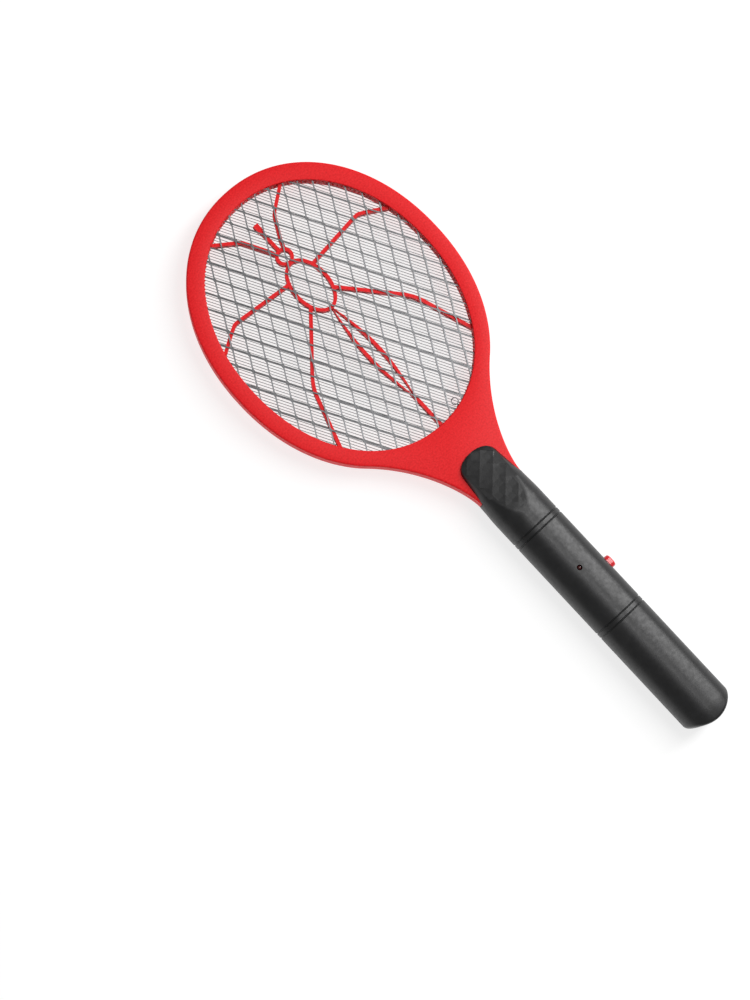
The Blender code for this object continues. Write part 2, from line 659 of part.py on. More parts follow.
def ground_grid(name, low):
    layers = [(opening(BORDER, LAYER_SIDES), True)] + [(hole, False) for hole in diamonds()]
    return paint(plate(name, layers, low, low + GRID_THICKNESS), "steel")


def slots():
    """Spaces between the parallel wires of the middle grid."""
    along = Vector((cos(WIRE_ANGLE), sin(WIRE_ANGLE)))
    across = Vector((along.y, -along.x))
    border = opening(GRID_MARGIN, LAYER_SIDES)
    reach = int(OPENING_LENGTH / 2 / WIRE_PITCH)
    holes = []
    for k in range(-reach, reach + 1):
        middle = Vector((0.0, OPENING_Y)) + across * WIRE_PITCH * k
        side = across * (WIRE_PITCH - WIRE_WIDTH) / 2
        ends = along * OPENING_LENGTH
        band = [middle - ends - side, middle - ends + side, middle + ends + side, middle + ends - side]
        hole = clip_to_convex(ccw([tuple(p) for p in band]), border)
        if hole and area_of(hole) > LEAST_SLOT * (WIRE_PITCH - WIRE_WIDTH):
            holes.append(hole)
    return holes


def grid_center():
    tab = rectangle((TERMINAL_X - TAB_WIDTH / 2, OPENING_LOW_Y - TAB_END),
                    (TERMINAL_X + TAB_WIDTH / 2, OPENING_LOW_Y - BORDER + MM))
    layers = [(opening(BORDER, LAYER_SIDES), True), (tab, True)] + [(hole, False) for hole in slots()]
    return paint(plate("grid_center", layers, -WIRE_THICKNESS / 2, WIRE_THICKNESS / 2), "steel")


def at_share(point, side=1):
    """A point of the rib pattern, given as a share of the opening's half-size."""
    return (side * point[0] * OPENING_WIDTH / 2, OPENING_Y + point[1] * OPENING_LENGTH / 2)


def figure_middles():
    """The middle of the head, and that of the body hanging below it."""
    head = Vector(at_share(HEAD_CENTRE))
    return head, head - Vector((0.0, HEAD_RADIUS + BODY_BELOW_HEAD + BODY_HALF_LENGTH))


def rib_to_rim(middle, half_sizes, foot, points, side):
    """A rib from its foot on an oval's line out to the rim."""
    start = middle + Vector((side * foot[0] * half_sizes[0], foot[1] * half_sizes[1]))
    line = [start] + [Vector(at_share(p, side)) for p in points]
    line.append(line[-1] + (line[-1] - line[-2]).normalized() * 2 * RIB_END)
    return clip_to_convex(strip(line, RIB_WIDTH), opening(RIB_END, LAYER_SIDES))


def lens(half_width, top, bottom):
    """The mosquito's tail: two arcs that meet at its ends."""
    steps = 9
    right = [(half_width * sin(pi * i / steps), top + (bottom - top) * i / steps) for i in range(steps + 1)]
    return ccw(right + [(-x, y) for x, y in right[1:-1]][::-1])


def rib_spacer(name, low):
    """The insulating ring between two grids, with its pattern of ribs."""
    half = RIB_WIDTH / 2
    head, body = figure_middles()
    round_head, round_body = (HEAD_RADIUS, HEAD_RADIUS), (BODY_HALF_WIDTH, BODY_HALF_LENGTH)
    layers = [(opening(BORDER, LAYER_SIDES), True), (opening(), False)]
    for side in (-1, 1):
        for middle, sizes, foot, line in ((head, round_head, ANTENNA_FOOT, ANTENNA),
                                          (body, round_body, UPPER_LEG_FOOT, UPPER_LEG),
                                          (body, round_body, LOWER_LEG_FOOT, LOWER_LEG)):
            layers.append((rib_to_rim(middle, sizes, foot, line, side), True))
    tail_top = body.y - BODY_HALF_LENGTH + TAIL_IN_BODY
    tail_low = at_share(TAIL_END)[1]
    proboscis = [(0.0, head.y + HEAD_RADIUS), at_share(PROBOSCIS_TOP)]
    layers.append((strip(proboscis, RIB_WIDTH), True))
    layers.append((strip([at_share(p) for p in PROBOSCIS_TIP], PROBOSCIS_TIP_WIDTH), True))
    layers.append((strip([(0.0, tail_low + 4 * MM), (0.0, OPENING_LOW_Y - RIB_END)], RIB_WIDTH), True))
    for grow, added in ((half, True), (-half, False)):
        layers.append((lens(TAIL_HALF_WIDTH + grow, tail_top, tail_low), added))
    for middle, sizes, sides in ((body, round_body, 20), (head, round_head, 12)):
        for grow, added in ((half, True), (-half, False)):
            layers.append((ellipse(middle, sizes[0] + grow, sizes[1] + grow, sides), added))
    return paint(plate(name, layers, low, low + SPACER_THICKNESS), "red_plastic")


def ground_eyelet():
    """The ring that the ground lead ends in, in front of the front grid."""
    sides, minor = 16, 6
    rings = []
    for i in range(sides):
        turn = 2 * pi * i / sides
        ring = []
        for j in range(minor):
            bend = 2 * pi * j / minor
            radius = EYELET_RADIUS + EYELET_WIRE / 2 * cos(bend)
            ring.append((radius * cos(turn), radius * sin(turn), EYELET_WIRE / 2 * sin(bend)))
        rings.append(ring)
    vertices = [point for ring in rings for point in ring]
    faces = []
    for i in range(sides):
        k = (i + 1) % sides
        for j in range(minor):
            m = (j + 1) % minor
            faces.append([i * minor + j, k * minor + j, k * minor + m, i * minor + m])
    obj = solid("ground_eyelet", vertices, faces)
    obj.location = (EYELET_CENTRE[0], OPENING_LOW_Y + EYELET_CENTRE[1], EYELET_Z)
    return paint(obj, "black_steel")


def hv_terminal():
    """The clip on the tab of the middle grid."""
    width, length, height = TERMINAL_SIZE
    obj = block("hv_terminal", (-width / 2, -length / 2, 0.0), (width / 2, length / 2, height))
    cut(obj, block("crimp", (-width / 5, -length, height / 2), (width / 5, length, 2 * height)))
    obj.location = (TERMINAL_X, OPENING_LOW_Y - TERMINAL_BELOW, WIRE_THICKNESS / 2 + GAP)
    return paint(obj, "steel")


# ================================================================ handle
def panel_height(y):
    """Middle plane to the outside of the handle along its middle line."""
    if y <= PANEL_END_Y:
        return HALF_DEPTH
    return TONGUE_RISE + (HALF_DEPTH - TONGUE_RISE) * (TONGUE_Y - y) / PANEL_LENGTH


def eased(share):
    """A smooth step from 0 to 1."""
    share = min(max(share, 0.0), 1.0)
    return share * share * (3 - 2 * share)


def handle_half_width(y):
    """Straight sides, a taper to the shoulder, a short flare and a tongue with a round tip."""
    if y <= SHOULDER_Y:
        taper = eased((SHOULDER_Y - y) / TAPER_LENGTH)
        return (SHOULDER_WIDTH + (HANDLE_WIDTH - SHOULDER_WIDTH) * taper) / 2
    along = y - SHOULDER_Y
    width = TONGUE_FOOT + (TONGUE_WIDTH - TONGUE_FOOT) * along / TONGUE_LENGTH
    width += (SHOULDER_WIDTH - TONGUE_FOOT) * eased(1 - along / FLARE_LENGTH)
    tip = min(max(1 - (TONGUE_Y - y) / TIP_LENGTH, 0.0), TIP_END)
    return width / 2 * (1 - tip ** TIP_POWER) ** (1 / TIP_POWER)


def section(y, side, inset=0.0, low=GAP / 2):
    """Half a cross-section of the handle as (x, z) points, from its right edge to its left."""
    half_width = handle_half_width(y) - inset
    flat = min(HANDLE_FLAT / 2, half_width * 0.6)
    height = HALF_DEPTH - inset
    top = panel_height(y) - inset
    points = []
    for i in range(SECTION_STEPS + 1):
        turn = pi * i / SECTION_STEPS
        sign = 1 if i < SECTION_STEPS / 2 else -1
        x = sign * (flat + (half_width - flat) * abs(cos(turn)) ** (2 / HANDLE_POWER))
        if i == SECTION_STEPS // 2:
            points += [(flat, min(height, top)), (-flat, min(height, top))]
        elif i in (0, SECTION_STEPS):
            points.append((x, low))
        else:
            points.append((x, min(height * sin(turn) ** (2 / HANDLE_POWER), top)))
    return [(x, side * z) for x, z in points]


def grooves_at(ring_y):
    """Stations and depths of a ring's two grooves, from its lower edge up."""
    stations = []
    for centre in (ring_y - RING_SPACING / 2, ring_y + RING_SPACING / 2):
        for offset, depth in ((-0.5, 0.0), (-0.2, 1.0), (0.2, 1.0), (0.5, 0.0)):
            stations.append((centre + offset * RING_WIDTH, depth * RING_DEPTH))
    return stations


def handle_solid(name, side, low_y, high_y, inset=0.0, low=GAP / 2, grooved=True):
    """A solid half of the handle between two stations."""
    stations = [(low_y, 0.0), (high_y, 0.0)]
    if grooved:
        stations += grooves_at(LOWER_RING_Y) + grooves_at(UPPER_RING_Y)
    taper = [SHOULDER_Y - TAPER_LENGTH * k / 4 for k in range(5)]
    flare = [SHOULDER_Y + FLARE_LENGTH * k / 3 for k in range(1, 4)]
    tip = [TONGUE_Y - TIP_LENGTH * (1 - cos(pi / 2 * k / 5)) for k in range(1, 6)]
    stations += [(y, 0.0) for y in [PANEL_END_Y] + taper + flare + tip]
    inside = sorted({(round(y, 7), d) for y, d in stations if low_y <= y <= high_y})
    rings = []
    for y, depth in inside:
        rings.append([(x, y, z) for x, z in section(y, side, inset + depth, low)])
    return loft(name, rings)


def butt_trim(inset=0.0):
    """Everything beyond the rounded end of the handle, seen from the front."""
    half = HANDLE_WIDTH / 2
    steps = 10
    arc = []
    for i in range(-steps - 4, steps + 5):
        x = half * i / steps
        arc.append((x, BUTT_Y + inset + BUTT_BULGE * (x / half) ** 2))
    far_y = BUTT_Y - FAR
    return prism("butt_trim", ccw(arc + [(arc[-1][0], far_y), (arc[0][0], far_y)]), -FAR, FAR)


def shell(name, side, low_y, high_y, closed_butt):
    """A hollow half of the handle."""
    obj = handle_solid(name, side, low_y, high_y)
    cavity_low = low_y if closed_butt else low_y - MM
    cavity_high = min(high_y + MM, TONGUE_Y - TIP_LENGTH - 2 * MM)
    cavity = handle_solid("cavity", side, cavity_low, cavity_high, WALL, -MM, grooved=False)
    if closed_butt:
        cut(cavity, butt_trim(BUTT_WALL))
        cut(obj, butt_trim())
    cut(obj, cavity)
    return obj


def neck_space(side):
    """What the neck and its stub take out of a handle half."""
    low, high = sorted((-side * MM, side * NECK_FACE))
    outline = [(FAR, TONGUE_Y + MM), (-FAR, TONGUE_Y + MM), (-FAR, SHOULDER_Y - GAP),
               (-STUB_WIDTH / 2 - GAP, SHOULDER_Y - GAP), (-STUB_WIDTH / 2 - GAP, SHOULDER_Y - STUB_LENGTH),
               (STUB_WIDTH / 2 + GAP, SHOULDER_Y - STUB_LENGTH), (STUB_WIDTH / 2 + GAP, SHOULDER_Y - GAP),
               (FAR, SHOULDER_Y - GAP)]
    return prism("neck_space", ccw(outline), low, high)


def button_outline(grow=0.0):
    outline = rounded_rectangle(BUTTON_LENGTH + 2 * grow, BUTTON_HEIGHT + 2 * grow, BUTTON_CORNER + grow)
    return [(y + BUTTON_Y, z) for y, z in outline]


def handle_front():
    obj = shell("handle_front", 1, BUTT_Y, TONGUE_Y, closed_butt=True)
    cut(obj, neck_space(1))
    pilot = SCREW_SHANK / 2 + GAP
    for x, y in TONGUE_SCREWS.values():
        join(obj, cylinder("boss", (x, y), BOSS_DIAMETER / 2, -FRAME_HALF, panel_height(y) - BOSS_SKIN))
        cut(obj, cylinder("pilot", (x, y), pilot, -FAR, SCREW_LENGTH - TONGUE_SEAT + MM, sides=8))
    join(obj, cylinder("boss", (0.0, HANDLE_SCREW_Y), BOSS_DIAMETER / 2, -BOSS_MEETS, HALF_DEPTH - MM))
    pilot_top = SCREW_LENGTH - SHELL_SEAT + MM
    cut(obj, cylinder("pilot", (0.0, HANDLE_SCREW_Y), pilot, -FAR, pilot_top, sides=8))
    join(obj, bulkhead())
    join(obj, block("post", (-POST_WIDTH / 2, POST_Y - POST_WIDTH / 2, -BOSS_MEETS),
                    (POST_WIDTH / 2, POST_Y + POST_WIDTH / 2, HALF_DEPTH - MM)))
    slot_top = COVER_SCREW_LENGTH - SHELL_SEAT + SLIP
    cut(obj, block("slot", (-pilot, POST_Y - POST_WIDTH, -FAR), (pilot, POST_Y + pilot, slot_top)))
    cut(obj, cylinder("led_hole", (0.0, LED_Y), LED_DIAMETER / 2 + GAP, 0.0, FAR))
    cut(obj, prism("button_hole", button_outline(GAP), 0.0, FAR, "X"))
    return paint(obj, "black_plastic")


def bulkhead():
    """The wall above the cells, which the contacts stand against and the leads pass through."""
    upper = section(BULKHEAD_Y, 1, WALL - 0.4 * MM)
    lower = [(x, max(z, -BULKHEAD_DROP)) for x, z in section(BULKHEAD_Y, -1, WALL + SLIP)]
    obj = prism("bulkhead", ccw(upper + lower[::-1]), BULKHEAD_Y, BULKHEAD_Y + BULKHEAD, "Y")
    for x in (-CELL_SPACING / 2, CELL_SPACING / 2):
        cut(obj, cylinder("lead_hole", (x, CONTACT_HEIGHT / 4), WIRE_LEAD / 2 + 2 * GAP, -1.0, 1.0, "Y", 12))
    return obj


def handle_rear():
    obj = shell("handle_rear", -1, LOWER_RING_Y + GAP / 2, TONGUE_Y, closed_butt=False)
    join(obj, tongue_filling())
    cut(obj, neck_space(-1))
    for x, y in TONGUE_SCREWS.values():
        cut(obj, cylinder("head_recess", (x, y), SCREW_HEAD / 2 + GAP, -FAR, -TONGUE_SEAT))
        cut(obj, cylinder("screw_hole", (x, y), SCREW_SHANK / 2 + GAP, -FAR, FAR, sides=8))
    add_screw_boss(obj, HANDLE_SCREW_Y)
    rail_top = BOARD_TOP - BOARD_THICKNESS - GAP
    for x in (-RAIL_SPACING / 2, RAIL_SPACING / 2):
        join(obj, block("rail", (x - RAIL_WIDTH / 2, BOARD_Y + RAIL_END, -HALF_DEPTH + WALL * 0.7),
                        (x + RAIL_WIDTH / 2, BOARD_Y + BOARD_LENGTH - RAIL_END, rail_top)))
    cut(obj, prism("button_hole", button_outline(GAP), 0.0, FAR, "X"))
    return paint(obj, "black_plastic")


def tongue_filling():
    """Solid plastic round the tongue's screws."""
    rings = []
    for y in (TONGUE_Y - SCREW_PAIR_FROM_TONGUE - SCREW_HEAD, TONGUE_Y - 0.7 * TIP_LENGTH):
        half = handle_half_width(y) - 1.1 * WALL
        high, low = -NECK_FACE, -panel_height(y) + 0.3 * WALL
        rings.append([(half, y, high), (-half, y, high), (-half, y, low), (half, y, low)])
    return loft("filling", rings)


def add_screw_boss(obj, y):
    """A boss inside the rear of the handle, and the recess for its screw's head."""
    join(obj, cylinder("boss", (0.0, y), BOSS_DIAMETER / 2 + MM, -HALF_DEPTH + MM, -BOSS_MEETS - GAP))
    cut(obj, cylinder("head_recess", (0.0, y), SCREW_HEAD / 2 + GAP, -FAR, -SHELL_SEAT))
    cut(obj, cylinder("screw_hole", (0.0, y), SCREW_SHANK / 2 + GAP, -FAR, 0.0, sides=8))


def lip_outline(outer, inner, half_arc):
    """A band along the inside of the cover's bottom, between two insets."""
    points = []
    for inset, first in ((outer, -half_arc), (inner, half_arc)):
        for i in range(7):
            turn = first * (1 - i / 3)
            flat = HANDLE_FLAT / 2
            x = flat + (HANDLE_WIDTH / 2 - inset - flat) * abs(sin(turn)) ** (2 / HANDLE_POWER)
            z = (inset - HALF_DEPTH) * cos(turn) ** (2 / HANDLE_POWER)
            points.append((0.0 if i == 3 else x * (1 if turn > 0 else -1), z))
    return ccw(points)


def battery_cover():
    top_y = LOWER_RING_Y - GAP / 2
    obj = shell("battery_cover", -1, BUTT_Y, top_y, closed_butt=True)
    inner = WALL + GAP + LIP_THICKNESS
    root = lip_outline(WALL * 0.75, inner, LIP_HALF_ARC * 1.1)
    join(obj, prism("lip_root", root, top_y - LIP_ROOT, top_y, "Y"))
    lip = lip_outline(WALL + GAP, inner, LIP_HALF_ARC)
    join(obj, prism("lip", lip, top_y - MM, top_y + LIP_LENGTH, "Y"))
    add_screw_boss(obj, POST_Y)
    grip_low = BUTT_Y + GRIP_FROM_BUTT
    grip_high = grip_low + GRIP_LENGTH
    floor = -HALF_DEPTH + GRIP_DEPTH
    cut(obj, block("grip", (-GRIP_WIDTH / 2, grip_low, -FAR), (GRIP_WIDTH / 2, grip_high, floor)))
    ridge_low, ridge_high = grip_low - MM, grip_high - GRIP_LENGTH / 4
    for k in (-1, 0, 1):
        x = k * GRIP_WIDTH / 4
        join(obj, block("ridge", (x - GRIP_RIDGE / 2, ridge_low, -HALF_DEPTH + RIDGE_LOWER),
                        (x + GRIP_RIDGE / 2, ridge_high, floor + RIDGE_LOWER)))
    return paint(obj, "black_plastic")


# ================================================================ button, switch and lamp
def trigger_button():
    wall_x = HANDLE_WIDTH / 2
    outline = rounded_rectangle(BUTTON_LENGTH, BUTTON_HEIGHT, BUTTON_CORNER)
    inner_x = wall_x - WALL - GAP
    rings = []
    for x, share in ((inner_x - wall_x - BUTTON_FLANGE / 2, 1.0), (BUTTON_PROUD - BUTTON_EDGE, 1.0),
                     (BUTTON_PROUD - BUTTON_EDGE / 3, 0.93), (BUTTON_PROUD, 0.78)):
        rings.append([(x, y * share, z * share) for y, z in outline])
    obj = loft("trigger_button", rings)
    flange = [(y * FLANGE_SPREAD, z * FLANGE_SPREAD) for y, z in outline]
    join(obj, prism("flange", flange, inner_x - BUTTON_FLANGE - wall_x - SLIP, inner_x - wall_x - SLIP, "X"))
    obj.location = (wall_x, BUTTON_Y, 0.0)
    return paint(obj, "red_button")


def flange_back_x():
    return HANDLE_WIDTH / 2 - WALL - GAP - SLIP - BUTTON_FLANGE


def switch_face_x():
    return flange_back_x() - BUTTON_TRAVEL - SLIP


def switch_body():
    width, length, height = SWITCH_SIZE
    face = switch_face_x()
    obj = block("switch_body", (face - width, BUTTON_Y - length / 2, -height / 2),
                (face, BUTTON_Y + length / 2, height / 2))
    depth = face - width + SWITCH_BACK
    cut(obj, cylinder("plunger_hole", (BUTTON_Y, 0.0), PLUNGER_DIAMETER / 2 + GAP, depth, FAR, "X", 12))
    return paint(obj, "component")


def switch_plunger():
    front = flange_back_x() - GAP
    back = switch_face_x() - SWITCH_SIZE[0] + SWITCH_BACK + BUTTON_TRAVEL + SLIP
    obj = cylinder("switch_plunger", (0.0, 0.0), PLUNGER_DIAMETER / 2, back - front, 0.0, "X", 12)
    obj.location = (front, BUTTON_Y, 0.0)
    return paint(obj, "resistor")


def indicator_led():
    top = HALF_DEPTH - LED_BELOW_FACE
    radius = LED_DIAMETER / 2
    base = top - LED_HEIGHT
    rim, rim_top = radius + LED_RIM, min(base + MM, HALF_DEPTH - WALL - GAP)
    profile = [(rim, base), (rim, rim_top), (radius, rim_top),
               (radius, top - 0.6 * radius), (radius * 0.75, top - 0.23 * radius), (radius * 0.3, top)]
    obj = turned("indicator_led", profile, 12)
    for x in (-LEAD_PITCH / 2, LEAD_PITCH / 2):
        join(obj, block("leg", (x - LEAD_WIDTH / 2, -LEAD_WIDTH / 2, PARTS_LOW),
                        (x + LEAD_WIDTH / 2, LEAD_WIDTH / 2, base + 0.5 * MM)))
    obj.location = (0.0, LED_Y, 0.0)
    return paint(obj, "lens")


# ================================================================ electronics
def circuit_board():
    half = BOARD_WIDTH / 2
    layers = [(rectangle((-half, BOARD_Y), (half, BOARD_Y + BOARD_LENGTH)), True)]
    inset_x, inset_y = BOARD_HOLE_INSET
    for x in (-half + inset_x, half - inset_x):
        layers.append((ellipse((x, BOARD_Y + inset_y), BOARD_HOLE / 2, BOARD_HOLE / 2, 10), False))
    return paint(plate("circuit_board", layers, BOARD_TOP - BOARD_THICKNESS, BOARD_TOP), "board")


def on_board(x, from_top, height):
    """A place on the board, by its distance from the board's upper end."""
    return (x, BOARD_Y + BOARD_LENGTH - from_top, PARTS_LOW + height)


def transformer():
    """A ferrite core with two windows, and the winding that fills them."""
    window, length = TRANSFORMER_WINDOW
    core, leg, thick = TRANSFORMER_CORE / 2, TRANSFORMER_LEG, TRANSFORMER_THICKNESS
    half_high = thick / 2 + WOUND + GAP
    place = on_board(*TRANSFORMER_AT, half_high)
    layers = [(rectangle((-core, -core), (core, core)), True)]
    for side in (-1, 1):
        xs = sorted((side * leg / 2, side * (leg / 2 + window)))
        layers.append((rectangle((xs[0], -length / 2), (xs[1], length / 2)), False))
    iron = plate("transformer_core", layers, -thick / 2, thick / 2)
    iron.location = place
    paint(iron, "ferrite")
    outer = rounded_rectangle(leg + 2 * (window - GAP), 2 * half_high, 1.2 * MM, 2)
    inner = rounded_rectangle(leg + 2 * GAP, thick + 2 * GAP, 0.2 * MM, 1)
    winding = prism("transformer_winding", outer, -length / 2 + GAP, length / 2 - GAP, "Y")
    cut(winding, prism("core_hole", inner, -length, length, "Y"))
    winding.location = place
    paint(winding, "copper")


def film_capacitor(name, x, from_top, size):
    width, length, height = size
    outline = rounded_rectangle(width, length, 1.4 * MM, 2)
    rings = [[(px * share, py * share, z) for px, py in outline]
             for z, share in ((0.0, 0.86), (0.9 * MM, 1.0), (height - 0.9 * MM, 1.0), (height, 0.86))]
    obj = loft(name, rings)
    obj.location = on_board(x, from_top, 0.0)
    return paint(obj, "film")


def axial(name, x, from_top, diameter, length, finish):
    """A diode or resistor lying along the board, with its legs."""
    wire, half, end = LEAD_WIDTH / 2, diameter / 2, length / 2
    side = [(wire, end + AXIAL_LEG), (wire, end), (half * 0.85, end - 0.05 * MM), (half, end - 0.5 * MM)]
    profile = [(r, -y) for r, y in side] + side[::-1]
    obj = turned(name, profile, 10, "Y")
    obj.location = on_board(x, from_top, half)
    return paint(obj, finish)


def transistor():
    radius, half = TRANSISTOR_RADIUS, LEAD_WIDTH / 2
    outline = ellipse((0.0, 0.0), radius, radius, 8, start=radians(-30), sweep=radians(240))
    obj = prism("oscillator_transistor", outline, TRANSISTOR_LOW, TRANSISTOR_TOP)
    for x in (-TRANSISTOR_PITCH, 0.0, TRANSISTOR_PITCH):
        join(obj, block("leg", (x - half, -half, 0.0), (x + half, half, TRANSISTOR_LOW + half)))
    obj.location = on_board(*TRANSISTOR_AT, 0.0)
    return paint(obj, "component")


def electronics():
    circuit_board()
    transformer()
    film_capacitor("hv_capacitor", *HV_CAPACITOR_AT, HV_CAPACITOR_SIZE)
    film_capacitor("storage_capacitor", *STORAGE_CAPACITOR_AT, STORAGE_CAPACITOR_SIZE)
    for i, x in enumerate(DIODE_XS):
        axial("rectifier_diode_%d" % (i + 1), x, DIODE_FROM_TOP, *DIODE_SIZE, "component")
    for i, x in enumerate(RESISTOR_XS):
        axial("board_resistor_%d" % (i + 1), x, RESISTOR_FROM_TOP, *RESISTOR_SIZE, "resistor")
    transistor()


# ================================================================ power
def battery(name, side, nub_up):
    """An AA cell; the left one has its nub towards the head."""
    radius, nub = CELL_DIAMETER / 2, CELL_NUB_DIAMETER / 2
    edge = 0.6 * MM
    profile = [(radius * 0.9, 0.0), (radius, edge), (radius, CELL_BODY - edge),
               (radius * 0.9, CELL_BODY), (nub, CELL_BODY), (nub, CELL_LENGTH_AA)]
    base = LOWER_CONTACT_Y + CONTACT + GAP
    if nub_up:
        base += SPRING_LENGTH + GAP
        profile = [(r, base + h) for r, h in profile]
    else:
        profile = [(r, base + CELL_LENGTH_AA - h) for r, h in profile]
    obj = turned(name, profile, 18, "Y")
    obj.location.x = side * CELL_SPACING / 2
    return paint(obj, "cell")


def contact_plate(name, x, y, width):
    half = CONTACT_HEIGHT / 2
    obj = prism(name, rounded_rectangle(width, 2 * half, 1.5 * MM, 2), 0.0, CONTACT, "Y")
    obj.location = (x, y, 0.0)
    return paint(obj, "steel")


def contact_spring(name, x, y, up):
    """A conical coil that stands on a contact and presses on a cell's flat end."""
    per_turn = 8
    wire = SPRING_WIRE / 2
    height = SPRING_LENGTH - SPRING_WIRE
    route = []
    for i in range(SPRING_TURNS * per_turn + 1):
        share = i / (SPRING_TURNS * per_turn)
        radius = SPRING_RADIUS - SPRING_NARROWS * share
        turn = 2 * pi * i / per_turn
        route.append(Vector((radius * cos(turn), up * (wire + height * share), radius * sin(turn))))
    obj = tube(name, route, wire)
    obj.location = (x, y, 0.0)
    return paint(obj, "steel")


def power():
    half = CELL_SPACING / 2
    battery("battery_left", -1, True)
    battery("battery_right", 1, False)
    contact_plate("contact_bridge", 0.0, LOWER_CONTACT_Y, CELL_SPACING + CONTACT_WIDTH)
    contact_plate("contact_positive", -half, UPPER_CONTACT_Y, CONTACT_WIDTH)
    contact_plate("contact_negative", half, UPPER_CONTACT_Y, CONTACT_WIDTH)
    contact_spring("spring_lower", -half, LOWER_CONTACT_Y + CONTACT + GAP, 1)
    contact_spring("spring_upper", half, UPPER_CONTACT_Y - GAP, -1)
    for name, side, finish in (("lead_positive", -1, "red_lead"), ("lead_negative", 1, "black_lead")):
        wide, height = side * BATTERY_LEAD_X, CONTACT_HEIGHT / 4
        start = (wide, BOARD_Y + BATTERY_LEAD_ON_BOARD, PARTS_LOW + WIRE_LEAD / 2)
        bulkhead_top = BULKHEAD_Y + BULKHEAD
        route = smooth_route([start, (wide, BOARD_Y, start[2] + MM),
                              ((wide + side * half) / 2, BOARD_Y - BOARD_ABOVE_RING, 0.5 * MM),
                              (side * half, bulkhead_top + 3.5 * MM, height),
                              (side * half, bulkhead_top, height), (side * half, BULKHEAD_Y, height)])
        paint(tube(name, route, WIRE_LEAD / 2), finish)


# ================================================================ fasteners and leads
def screw(length):
    """A pan-head screw with a cross recess; its seat is at its origin and its shank points up."""
    head, shank = SCREW_HEAD / 2, SCREW_SHANK / 2
    profile = [(head * 0.72, -SCREW_HEAD_HEIGHT), (head, -SCREW_HEAD_HEIGHT * 0.45), (head, 0.0),
               (shank, 0.0), (shank, length - 1.5 * MM), (shank * 0.4, length)]
    obj = turned("screw", profile, 12)
    narrow, wide = CROSS_RECESS
    for width, depth in ((narrow, wide), (wide, narrow)):
        cut(obj, block("recess", (-width / 2, -depth / 2, -2 * SCREW_HEAD_HEIGHT),
                       (width / 2, depth / 2, -0.45 * SCREW_HEAD_HEIGHT)))
    return obj


def screws():
    long_screw = screw(SCREW_LENGTH)
    for name, (x, y) in TONGUE_SCREWS.items():
        copy_of(long_screw, name, (x, y, -TONGUE_SEAT - GAP), "black_steel")
    copy_of(long_screw, "handle_screw", (0.0, HANDLE_SCREW_Y, -SHELL_SEAT - GAP), "black_steel")
    bpy.data.objects.remove(long_screw)
    short_screw = screw(COVER_SCREW_LENGTH)
    copy_of(short_screw, "cover_screw", (0.0, POST_Y, -SHELL_SEAT - GAP), "black_steel")
    bpy.data.objects.remove(short_screw)


def head():
    frame_half("frame_front", 1)
    frame_half("frame_rear", -1)
    ground_grid("grid_front", GRID_LOW)
    ground_grid("grid_rear", -GRID_LOW - GRID_THICKNESS)
    grid_center()
    rib_spacer("rib_spacer_front", SPACER_LOW)
    rib_spacer("rib_spacer_rear", -SPACER_LOW - SPACER_THICKNESS)
    ground_eyelet()
    hv_terminal()
    paint(tube("hv_lead", hv_route(), WIRE_LEAD / 2), "red_lead")
    paint(tube("ground_lead", ground_route(), WIRE_LEAD / 2), "black_lead")


def handle():
    handle_front()
    handle_rear()
    battery_cover()
    trigger_button()
    switch_body()
    switch_plunger()
    indicator_led()


def lift():
    """Hangs every piece on one empty at the height of the middle plane."""
    pieces = list(bpy.context.scene.objects)
    empty = new_object("racket", None)
    empty.location.z = HALF_DEPTH
    for piece in pieces:
        piece.parent = empty


def main():
    for obj in list(bpy.data.objects):
        bpy.data.objects.remove(obj)
    head()
    handle()
    electronics()
    power()
    screws()
    lift()


main()
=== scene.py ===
"""Looks of the electric fly swatter: fine meshes, materials, camera, floor and light.

Everything is in metres, in the frame of the CAD model: the racket lies on its back, its head is at +Y
and its front looks up. Heights of the racket's pieces are counted from its middle plane.
"""

import json
from math import asin, cos, pi, radians, sin, sqrt

import bmesh
import bpy
from mathutils import Matrix, Vector
from mathutils.geometry import delaunay_2d_cdt


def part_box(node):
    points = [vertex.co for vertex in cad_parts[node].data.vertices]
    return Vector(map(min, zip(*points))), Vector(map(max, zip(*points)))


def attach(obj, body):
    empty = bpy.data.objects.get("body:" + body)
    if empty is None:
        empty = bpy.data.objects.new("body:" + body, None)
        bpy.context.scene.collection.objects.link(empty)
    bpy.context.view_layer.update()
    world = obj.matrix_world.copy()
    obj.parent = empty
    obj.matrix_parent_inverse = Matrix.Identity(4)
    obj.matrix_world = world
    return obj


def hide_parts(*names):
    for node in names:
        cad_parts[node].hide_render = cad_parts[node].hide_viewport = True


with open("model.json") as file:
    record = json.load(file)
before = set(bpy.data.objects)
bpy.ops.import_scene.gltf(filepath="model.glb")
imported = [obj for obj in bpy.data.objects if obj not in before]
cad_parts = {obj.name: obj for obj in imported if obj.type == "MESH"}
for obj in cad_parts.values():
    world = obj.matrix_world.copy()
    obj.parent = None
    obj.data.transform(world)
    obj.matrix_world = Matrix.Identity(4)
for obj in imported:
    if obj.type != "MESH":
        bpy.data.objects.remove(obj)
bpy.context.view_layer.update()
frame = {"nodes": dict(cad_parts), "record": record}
MM = 0.001


def low(node):
    return Vector(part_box(node)[0])


def high(node):
    return Vector(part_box(node)[1])


def middle_of(node):
    return (low(node) + high(node)) / 2


